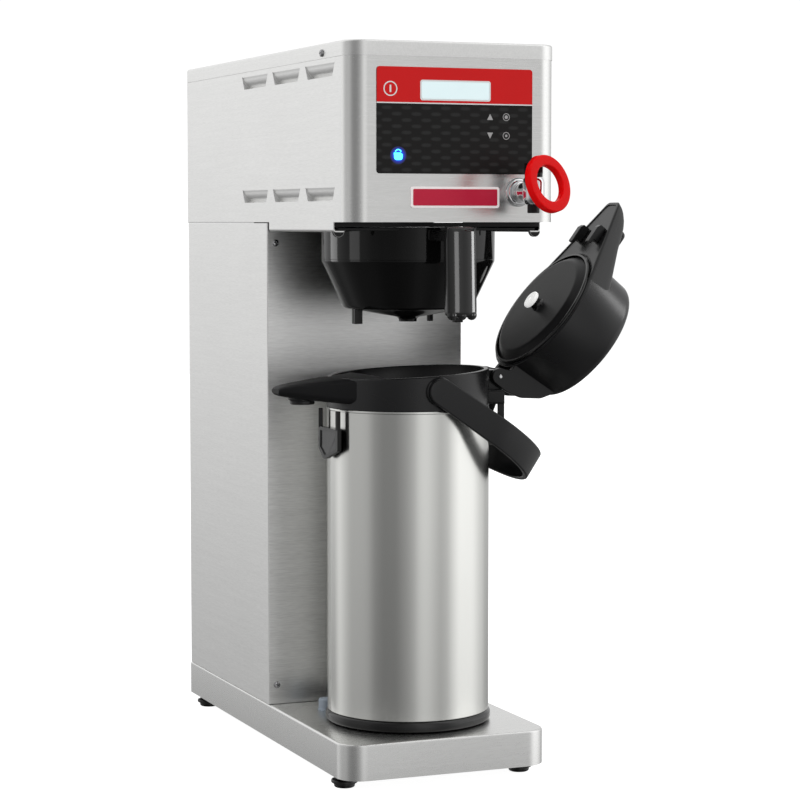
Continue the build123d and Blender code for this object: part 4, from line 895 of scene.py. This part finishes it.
def build_collar():
    r, floor = CASING_RADIUS, CASING_TOP
    sides = 180
    rings = []
    lip = 1.8
    profile = [(r - 1, 0, 0), (r + 0.1, 0, 0.6), (r + 0.1, 1, -lip)]
    profile += [(r - lip + lip * cos(a), 1, -lip + lip * sin(a))
        for a in (radians(22.5 * i) for i in range(1, 5))]
    profile += [(r - 4.6, 1, 0), (r - 5.2, 1, -0.6), (r - 5.2, 0, 14), (r - 7, 0, 11.6), (52, 0, 10),
        (48, 0, 8.5), (46.4, 0, 6.5), (46.4, 0, 0.2)]
    for radius, at_top, extra in profile:
        ring = []
        for i in range(sides):
            a = 2 * pi * i / sides
            x = radius * cos(a)
            z = (collar_height(x) if at_top else floor) + extra
            ring.append((x, BREW_Y + radius * sin(a), z))
        rings.append(ring)
    collar = loft("pot_collar", rings, pot_plastic, "airpot", caps=(False, False), loop=True, smooth=40)
    build_beak()
    hinge = rounded([(77, 352, 1.5), (86, 352, 3), (98.5, 382, 3), (98.5, 397.5, 6.4), (77, 397.5, 2)])
    knuckle = plate("hinge_knuckle", hinge, -14, 14, pot_plastic, "airpot", edge=0.8,
        place=upright(BREW_Y))
    pieces = [collar, knuckle]
    for side in BOTH:
        turn = oriented(Vector((0, BREW_Y + side * 76, PIVOT_Z)), (0, side, 0))
        boss = [(0, 0), (14, 0), (14, 7.6), (13.4, 8.6), (4.1, 8.9), (4, 12.4), (3.4, 12.9), (0, 12.9)]
        pieces.append(lathe(f"bail_boss_{side > 0:d}", boss, pot_plastic, "airpot", segments=72,
            place=turn))
    stand_in("airpot_collar", "black_plastic", *pieces)


def build_beak():
    """Duck bill lofted along X: half width, top and bottom at stations from the collar to the tip."""
    stations = ((-44, 58, 394.6, 374), (-56, 48.5, 393.8, 369.5), (-68, 41.5, 393.2, 368.5),
        (-80, 35.4, 392.4, 369), (-92, 30.2, 391.2, 370.2), (-104, 25.6, 390.0, 371.6),
        (-116, 21.2, 388.6, 373), (-127, 17.0, 387.2, 374.6), (-134, 14.2, 386.0, 375.8),
        (-138, 12.2, 384.8, 377.2), (-139.8, 10.6, 383.0, 379.0))
    rings = []
    for x, half, top, bottom in stations:
        soft = min(2.2, (top - bottom) * 0.3)
        hull = min(4.5, (top - bottom) * 0.35)
        dish = half * 0.78
        sink = min(1.6, (top - bottom) * 0.2)
        section = [(-half + hull, bottom, hull * 0.9), (half - hull, bottom, hull * 0.9),
            (half, bottom + hull, hull * 0.5), (half, top - sink, soft), (dish, top, 2.4),
            (dish * 0.4, top + 0.5, 3), (-dish * 0.4, top + 0.5, 3), (-dish, top, 2.4),
            (-half, top - sink, soft), (-half, bottom + hull, hull * 0.5)]
        rings.append([(x, BREW_Y + y, z) for y, z in fixed_corners(section, 4)])
    bill = loft("pot_beak", rings, beak_plastic, "airpot", smooth=40)
    stand_in("airpot_collar", "black_plastic", bill)
    spout = [(5.2, 367.6), (11.4, 367.6), (12.2, 368.4), (12.2, 371), (14.4, 373), (14.4, 375),
        (5.2, 375), (5.2, 367.6)]
    outlet = lathe("pour_outlet", spout, pot_plastic, "airpot", (-112, BREW_Y), 72)
    stand_in("pour_nozzle", "black_plastic", outlet)


def fixed_corners(corners, count):
    """Like rounded, but each corner always gets the same number of points."""
    points = []
    for i, (x, y, radius) in enumerate(corners):
        here = Vector((x, y))
        before, after = Vector(corners[i - 1][:2]) - here, Vector(corners[(i
            + 1) % len(corners)][:2]) - here
        reach = min(radius, before.length * 0.45, after.length * 0.45)
        a, b = here + before.normalized() * reach, here + after.normalized() * reach
        for k in range(count + 1):
            t = k / count
            points.append(tuple(a * (1 - t) ** 2 + here * 2 * t * (1 - t) + b * t * t))
    return points


def wrapped_plate(name, outline, inner, outer, turn, material, body, node, edge=0.6):
    """Plate bent round the airpot: outline in arc length and height, set on the side given by turn."""
    rings = []
    for radius in (inner, outer):
        rings.append([(radius * cos(turn + s / outer), BREW_Y + radius * sin(turn + s / outer), z) for s,
            z in outline])
    thing = loft(name, rings, material, body)
    if edge:
        soften(thing, edge, 2)
    stand_in(node, "black_plastic", thing)
    return thing


def build_guard(name, turn, inner, outer, low, top, half, leg, body, node):
    """Shield-shaped tab with a raised border, hanging on two legs."""
    belly = low + 15
    shoulder = low + 30
    shield = rounded([(-half, shoulder, 1), (-half, belly - 6, 2), (-3, low, 2.4), (3, low, 2.4),
        (half, belly - 6, 2), (half, shoulder, 1)], 0.3)
    wrapped_plate(f"{name}_shield", shield, inner, outer - 1.2, turn, pot_plastic, body, node)
    inset = rounded([(-half + leg, shoulder - leg, 1), (-half + leg, belly - 4.6, 1.4),
        (-1.8, low + leg, 1.4), (1.8, low + leg, 1.4), (half - leg, belly - 4.6, 1.4),
        (half - leg, shoulder - leg, 1)], 0.3)
    border = wrapped_plate(f"{name}_border", shield, outer - 2, outer, turn, pot_plastic, body, node,
        edge=0)
    hole = wrapped_plate(f"{name}_hole", inset, outer - 5, outer + 5, turn, pot_plastic, body, node,
        edge=0)
    del hole["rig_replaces"]
    carve(border, hole)
    for side in BOTH:
        centre = side * (half - leg / 2)
        bar = block(centre - leg / 2, centre + leg / 2, shoulder - 1, top, 0, 0)
        wrapped_plate(f"{name}_leg_{side > 0:d}", bar, inner + 0.6, outer, turn, pot_plastic, body, node)


def build_guards():
    build_guard("latch", pi, 84.4, 89.3, 313.4, 361.4, 27, 3.6, "latch", "lid_latch")
    build_guard("rest", 0, 89.8, 97, 320.4, 376, 30, 5, "airpot", "handle_rest")
    bridge = block(-31.6, 31.6, 364, 378, 2, 3)
    wrapped_plate("rest_bridge", bridge, 80.2, 97.2, 0, pot_plastic, "airpot", "handle_rest", 1)


def build_bail():
    """U-shaped strap, swept round its two arms and the half circle between them."""
    end_round = 13.0
    path = []
    for a in range(0, 90, 6):
        x = -end_round * cos(radians(a))
        path.append((x, BAIL_RADIUS, end_round * max(sin(radians(a)), 0.02)))
    for i in range(13):
        x = BAIL_ARM * i / 12
        path.append((x, BAIL_RADIUS, end_round + 0.9 * i / 12))
    for a in range(3, 91, 3):
        x, y = BAIL_ARM + BAIL_RADIUS * sin(radians(a)), BAIL_RADIUS * cos(radians(a))
        path.append((x, y, end_round + (0.9 + 0.6 * a / 90)))
    path = path + [(x, -y, w) for x, y, w in path[-2::-1]]
    place = Matrix.Translation((0, BREW_Y, PIVOT_Z)) @ Matrix.Rotation(-BAIL_LEAN, 4, "Y")
    half = BAIL_THICKNESS / 2
    rings = []
    for i, (x, y, w) in enumerate(path):
        x0, y0, _ = path[max(i - 1, 0)]
        x1, y1, _ = path[min(i + 1, len(path) - 1)]
        along = Vector((x1 - x0, y1 - y0, 0)).normalized()
        out = Vector((along.y, -along.x, 0))
        swell = half * (1 + 0.16 * max(0.0, (x - BAIL_ARM) / BAIL_RADIUS))
        section = fixed_corners([(-swell, -w, 1.6), (swell, -w, 1.6), (swell, w, 1.6), (-swell, w, 1.6)],
            5)
        rings.append([place @ (Vector((x, y, 0)) + out * p + Vector((0, 0, q))) for p, q in section])
    strap = loft("bail_strap", rings, pot_plastic, "bail", smooth=30)
    stand_in("bail_handle", "black_plastic", strap)


# ---- Airpot lid, built closed in its own frame and tipped open ----
LID_PLACE = Matrix.Translation((HINGE_X, BREW_Y, HINGE_Z)) @ Matrix(((cos(LID_LEAN), 0, sin(LID_LEAN), 0),
    (0, -1, 0, 0), (sin(LID_LEAN), 0, -cos(LID_LEAN), 0), (0, 0, 0, 1)))
LID_RADIUS, LID_TIP, LID_TIP_HALF = 72, 222, 13
LID_RIM = 5.5


def teardrop(inset):
    """Circle of the lid with straight flanks to its beak; the inset draws it smaller all round."""
    radius, tip, half = LID_RADIUS - 1.0 - inset, LID_TIP - inset, LID_TIP_HALF - inset * 0.7
    reach = tip - LID_CENTRE
    distance = sqrt(reach ** 2 + half ** 2)
    touch = atan2(half, reach) + atan2(sqrt(distance ** 2 - radius ** 2), radius)
    count = 60
    points = []
    for i in range(count + 1):
        a = touch + (2 * pi - 2 * touch) * i / count
        points.append((LID_CENTRE + radius * cos(a), radius * sin(a)))
    flank, nose = 16, 6
    end, corner = Vector(points[-1]), Vector((tip, -half))
    soft = 5
    stop = corner + (end - corner).normalized() * soft
    for i in range(1, flank + 1):
        points.append(tuple(end.lerp(stop, i / flank)))
    side = Vector((tip, -half + soft))
    for i in range(1, nose + 1):
        t = i / nose
        points.append(tuple(stop * (1 - t) ** 2 + corner * 2 * t * (1 - t) + side * t * t))
    mirrored = [(x, -y) for x, y in points[count + 1:][::-1]]
    return points + mirrored


def lid_height(x):
    """Height of the lid's lower part, level under the dome and falling along the beak."""
    marks = ((8, 22), (15, 33), (30, 37), (120, 37), (150, 31.5), (178, 26.5), (199, 24.5), (207, 22),
        (213, 18.8), (222, 10.5))
    if x <= marks[0][0]:
        return marks[0][1]
    for (x0, z0), (x1, z1) in zip(marks, marks[1:]):
        if x <= x1:
            return (z0 + (z1 - z0) * (x - x0) / (x1 - x0))
    return marks[-1][1]


def build_lid():
    levels = [(0.0, 1.4), (0.03, 0.6), (0.07, 0.1), (0.12, 0), (0.4, 0.6), (0.7, 1.3), (0.84, 2.0),
        (0.92, 3.0), (0.97, 4.4), (1.0, 6.2), (1.0, 11)]
    rings = []
    for share, inset in levels:
        rings.append([(x, y, LID_RIM + (lid_height(x) - LID_RIM) * share) for x, y in teardrop(inset)])
    inner = [[(x, y, LID_RIM + 1.4) for x, y in teardrop(3.6)],
        [(x, y, LID_RIM) for x, y in teardrop(3.2)]]
    shell = loft("lid_beak", inner + rings, lid_plastic, "lid", smooth=45, place=LID_PLACE)
    panel = plate("lid_panel", teardrop(3.4), LID_RIM + 0.9, LID_RIM + 2.6, lid_plastic, "lid",
        place=LID_PLACE)
    middle = Matrix(LID_PLACE) @ Matrix.Translation((LID_CENTRE, 0, 0))
    plug = [(0, -1), (54, -1), (55.5, -1), (56.8, -0.7), (58.2, 0.1), (61.8, 3.0), (63.4, 4.2), (64.6, 5),
        (65.4, 6), (65.6, 7.4), (0, 7.4)]
    disc = lathe("lid_plug", plug, plug_plastic, "lid", segments=180, place=middle)
    seal = [(65.4, 2.8), (67.4, 2.8), (68.4, 3.8), (68.4, 5.4), (67.4, 6.2), (65.4, 6.2), (65.4, 2.8)]
    gasket = lathe("lid_seal", seal, rubber, "lid", segments=180, place=middle)
    stand_in("lid_gasket", "rubber", gasket)
    hooks = []
    for y in (-19, 19):
        profile = rounded([(188, 6, 0), (188, -1.5, 1), (184, -3.5, 1), (166, -3.5, 1), (166, 0.2, 0.8),
            (171, 0.8, 0.8), (171, 6, 0)], 0.3)
        turn = LID_PLACE @ upright(y)
        hooks.append(plate(f"lid_hook_{y > 0:d}", profile, -4, 4, lid_plastic, "lid", edge=0.6,
            place=turn))
    stand_in("lid_underside", "black_plastic", panel, disc, *hooks)
    top, bend = 66, 9
    drum = [(60, 6.4), (70.4, 6.4), (71.2, 6.8), (71.6, 7.8)] + [(69.1 - bend + bend * cos(radians(a)),
        top - bend + bend * sin(radians(a))) for a in range(0, 91, 9)]
    drum += [(39.4, top), (38.4, top - 0.5), (38, top - 1.4), (38, 52), (60, 6.4)]
    dome = lathe("lid_dome", drum, lid_plastic, "lid", segments=180, place=middle)
    stand_in("lid_shell", "black_plastic", shell, dome)
    stem = [(0, -8.8), (6.0, -8.8), (6.0, -4), (6.6, -2.2), (7.6, -1), (0, -1)]
    valve = lathe("vent_stem", stem, gloss_black, "lid", segments=48, place=middle)
    button = [(0, -11.6), (1.2, -11.6), (1.5, -12.2), (8.4, -12.2), (9.2, -11.6), (9.4, -10.6),
        (9.2, -9.2), (8.6, -8.6), (0, -8.6)]
    cap = lathe("vent_disc", button, valve_white, "lid", segments=64, place=middle)
    stand_in("vent_valve", "white_plastic", valve, cap)
    build_lid_top(middle)
    build_ears()


def build_lid_top(middle):
    """Pump button sunk in the dome, its lock slide and the thumb catch on the beak."""
    press = [(0, 58), (37, 58), (37, 66.6), (36.4, 68.2), (35, 69), (30, 68.6), (26, 67), (0, 66.2)]
    button = lathe("pump_disc", press, pot_plastic, "button", segments=144, place=middle)
    stand_in("pump_button", "black_plastic", button)
    lock = plate("lock_slide", block(139, 151, -10, 10, 2, 2), 66.3, 72.5, pot_plastic, "lock", edge=1.5,
        place=LID_PLACE)
    stand_in("pump_lock", "black_plastic", lock)
    thumb = plate("lid_thumb", block(184, 203, -8, 8, 6, 6), 20, 35.5, lid_plastic, "lid", edge=4.6,
        place=LID_PLACE)
    thumb.modifiers["edge"].segments = 6
    stand_in("lid_shell", "black_plastic", thumb)


def build_ears():
    """Two hinge arms of the lid, each with a round boss at the pin."""
    outline = arc((0, 0), 8.5, 180, 350, 16)
    outline += rounded([(12, 6, 2), (34, 8, 0), (34, 60, 0), (22, 60, 8), (8, 50, 12), (-4, 32, 10),
        (-8.5, 14, 5)], closed=False)
    for y in (-17.75, 17.75):
        turn = LID_PLACE @ upright(y)
        ear = plate(f"lid_ear_{y > 0:d}", outline, -3.25, 3.25, lid_plastic, "lid", edge=0.9, place=turn)
        stand_in("lid_shell", "black_plastic", ear)
    turn = oriented(Vector((HINGE_X, BREW_Y - 22, HINGE_Z)), (0, 1, 0))
    shape = [(0, 0), (1.4, 0), (2, 0.6), (2, 43.4), (1.4, 44), (0, 44)]
    pin = lathe("hinge_pin", shape, chrome, "airpot", segments=32, place=turn)
    stand_in("lid_pin", "screw_steel", pin)


# ---- CAD pieces that stay ----
KEPT = {"rear_panel": side_steel, "base_stiffener": mill_steel, "head_floor": black_plastic,
    "spray_head": bright_steel, "control_board": board_green, "terminal_block": black_plastic,
    "cord_gland": black_plastic, "inlet_fitting": brass, "inlet_valve": brass, "fill_tube": copper,
    "hot_water_tank": mill_steel, "tank_gasket": rubber, "tank_lid": mill_steel,
    "heating_elements": mill_steel, "temperature_probe": mill_steel, "level_probe": mill_steel,
    "overheat_thermostat": white_plastic, "brew_valve": brass, "brew_tube": copper, "faucet_tube": copper,
    "faucet_shank": chrome, "faucet_bonnet": black_plastic, "faucet_pin": chrome,
    "filter_support": bright_steel, "vacuum_flask": mill_steel, "dip_tube": bright_steel,
    "bellows": rubber,}


def finish_kept():
    for node, material in KEPT.items():
        for slot in frame["nodes"][node].material_slots:
            slot.material = material


# ---- Studio ----
# Radiance round the horizon: share of the turn from straight ahead by way of the left, and level.
STRIPS = ((0.0, 0.92), (0.018, 0.84), (0.035, 0.62), (0.06, 0.46), (0.085, 0.36), (0.11, 0.28),
    (0.16, 0.27), (0.195, 0.34), (0.225, 0.52), (0.25, 0.56), (0.31, 0.56), (0.345, 0.74), (0.385, 1.0),
    (0.43, 1.0), (0.50, 1.0), (0.60, 0.8), (0.665, 0.66), (0.72, 0.92), (0.77, 1.3), (0.845, 1.36),
    (0.875, 1.05), (0.90, 0.72), (0.93, 0.62), (0.955, 0.76), (0.98, 0.9), (1.0, 0.92))
PEAK = 2.0
SEEN = 1.05


def build_surround():
    """World whose light changes round the horizon, and falls off below it."""
    world = bpy.data.worlds.new("studio")
    bpy.context.scene.world = world
    world.use_nodes = True
    g = Graph(world.node_tree)
    where = g.add("ShaderNodeTexCoord")
    split = g.add("ShaderNodeSeparateXYZ")
    g.link(where.outputs["Generated"], split.inputs["Vector"])
    height = split.outputs["Z"]
    turn = g.math("ARCTAN2", split.outputs["X"], split.outputs["Y"])
    share = g.spread(turn, 0, 1, -pi, pi)
    around = g.ramp(share, *[(place, (level / PEAK,) * 3) for place, level in STRIPS])
    fall = g.spread(height, 0.28, 1, -0.62, -0.04, "SMOOTHSTEP")
    deeper = g.spread(height, 0.3, 1, -0.36, 0.12, "SMOOTHSTEP")
    rear = g.spread(share, 0, 1, 0.37, 0.43, "SMOOTHSTEP")
    front = g.spread(share, 0, 1, 0.7, 0.6, "SMOOTHSTEP")
    corner = g.add("ShaderNodeMix")
    corner.inputs["A"].default_value = 1
    g.link(deeper, corner.inputs["B"])
    g.link(g.math("MULTIPLY", rear, front), corner.inputs["Factor"])
    dim = g.add("ShaderNodeMix", data_type="RGBA", blend_type="MULTIPLY")
    dim.inputs["Factor"].default_value = 1
    g.link(around, dim.inputs[6])
    g.link(g.math("MULTIPLY", fall, corner.outputs["Result"]), dim.inputs[7])
    ray = g.add("ShaderNodeLightPath")
    mix = g.add("ShaderNodeMix", data_type="RGBA")
    g.link(ray.outputs["Is Camera Ray"], mix.inputs["Factor"])
    g.link(dim.outputs[2], mix.inputs[6])
    mix.inputs[7].default_value = (*(SEEN / PEAK,) * 3, 1)
    backdrop = g.tree.nodes["Background"]
    g.link(mix.outputs[2], backdrop.inputs["Color"])
    backdrop.inputs["Strength"].default_value = PEAK


def area_lamp(name, place, aim, size, watts):
    """Soft rectangular lamp that points at a place."""
    light = bpy.data.lights.new(name, "AREA")
    light.shape = "RECTANGLE"
    light.size, light.size_y = size
    light.energy = watts
    lamp = bpy.data.objects.new(name, light)
    lamp.location = place
    lamp.rotation_euler = (aim - lamp.location).to_track_quat("-Z", "Y").to_euler()
    bpy.context.scene.collection.objects.link(lamp)
    return lamp


def build_lamps():
    for name, place, size, watts in (("key", (-2.2, -1.4, 2.1), (1.6, 1.6), 30),
            ("fill", (2.4, -1.8, 1.2), (0.8, 2.0), 4), ("top", (0.2, -0.4, 2.8), (2.4, 2.4), 10)):
        lamp = area_lamp(name, place, Vector((0, -0.1, 0.35)), size, watts)
        lamp.visible_glossy = False


def gleams():
    """Narrow upright lamps that light only glossy plastics, each at a bearing from straight ahead."""
    middle = Vector((0, BREW_Y * MM, 0.52))
    for name, bearing, rise, width, watts, stem in (("gleam_rear", -135, 0, 0.42, 2.6, "basket_funnel"),
            ("gleam_left", -95, 0, 0.42, 1.5, "basket_funnel"),
            ("gleam_front", 0, 0, 0.34, 3.4, "basket_grip"),
            ("gleam_right", 58, 0, 0.32, 9, "basket_grip"), ("gleam_lid", 78, 0.6, 0.4, 4.5, "lid_dome")):
        a = radians(bearing)
        place = middle + Vector((1.5 * sin(a), -1.5 * cos(a), rise))
        lamp = area_lamp(name, place, middle, (width, 0.7), watts)
        lamp.visible_camera = False
        lit = bpy.data.collections.new(name)
        for thing in bpy.data.objects:
            if thing.name.startswith(stem):
                lit.objects.link(thing)
        lamp.light_linking.receiver_collection = lit


def build_studio():
    """Pale floor, a surround with soft boxes in it, and three soft lights."""
    scene = bpy.context.scene
    mesh = bpy.data.meshes.new("floor")
    reach = 6
    corners = block(-reach, reach, -reach, reach, 0, 0)
    mesh.from_pydata([(x, y, 0) for x, y in corners], [], [(0, 1, 2, 3)])
    n = Nodes("floor_paint")
    speck = n.noise((3, 3, 3))
    n.link(n.ramp(speck, (0.3, (0.46, 0.46, 0.46)), (0.7, (0.48, 0.48, 0.48))),
        n.shader.inputs["Base Color"])
    n.set(Roughness=0.9, Specular_IOR_Level=0.1)
    seen = n.add("ShaderNodeLightPath")
    white = n.add("ShaderNodeEmission")
    n.link(n.math("MULTIPLY", seen.outputs["Is Camera Ray"], 0.95), white.inputs["Strength"])
    both = n.add("ShaderNodeAddShader")
    n.link(n.shader.outputs["BSDF"], both.inputs[0])
    n.link(white.outputs["Emission"], both.inputs[1])
    n.link(both.outputs["Shader"], n.tree.nodes["Material Output"].inputs["Surface"])
    mesh.materials.append(n.material)
    floor = bpy.data.objects.new("floor", mesh)
    scene.collection.objects.link(floor)
    floor.visible_glossy = False
    build_surround()
    build_lamps()
    scene.view_settings.view_transform = "Standard"
    view = bpy.data.cameras.new("view")
    view.lens = 109.56
    view.sensor_width = 36
    camera = bpy.data.objects.new("view", view)
    camera.location = (-0.9215, -2.3807, 0.5456)
    camera.rotation_euler = (radians(85.82), 0, radians(-22.18))
    scene.collection.objects.link(camera)
    scene.camera = camera


build_studio()
build_base()
build_column()
build_head()
build_panel()
build_badge()
build_faucet()
build_basket()
build_pot()
build_guards()
build_bail()
build_lid()
finish_kept()
gleams()
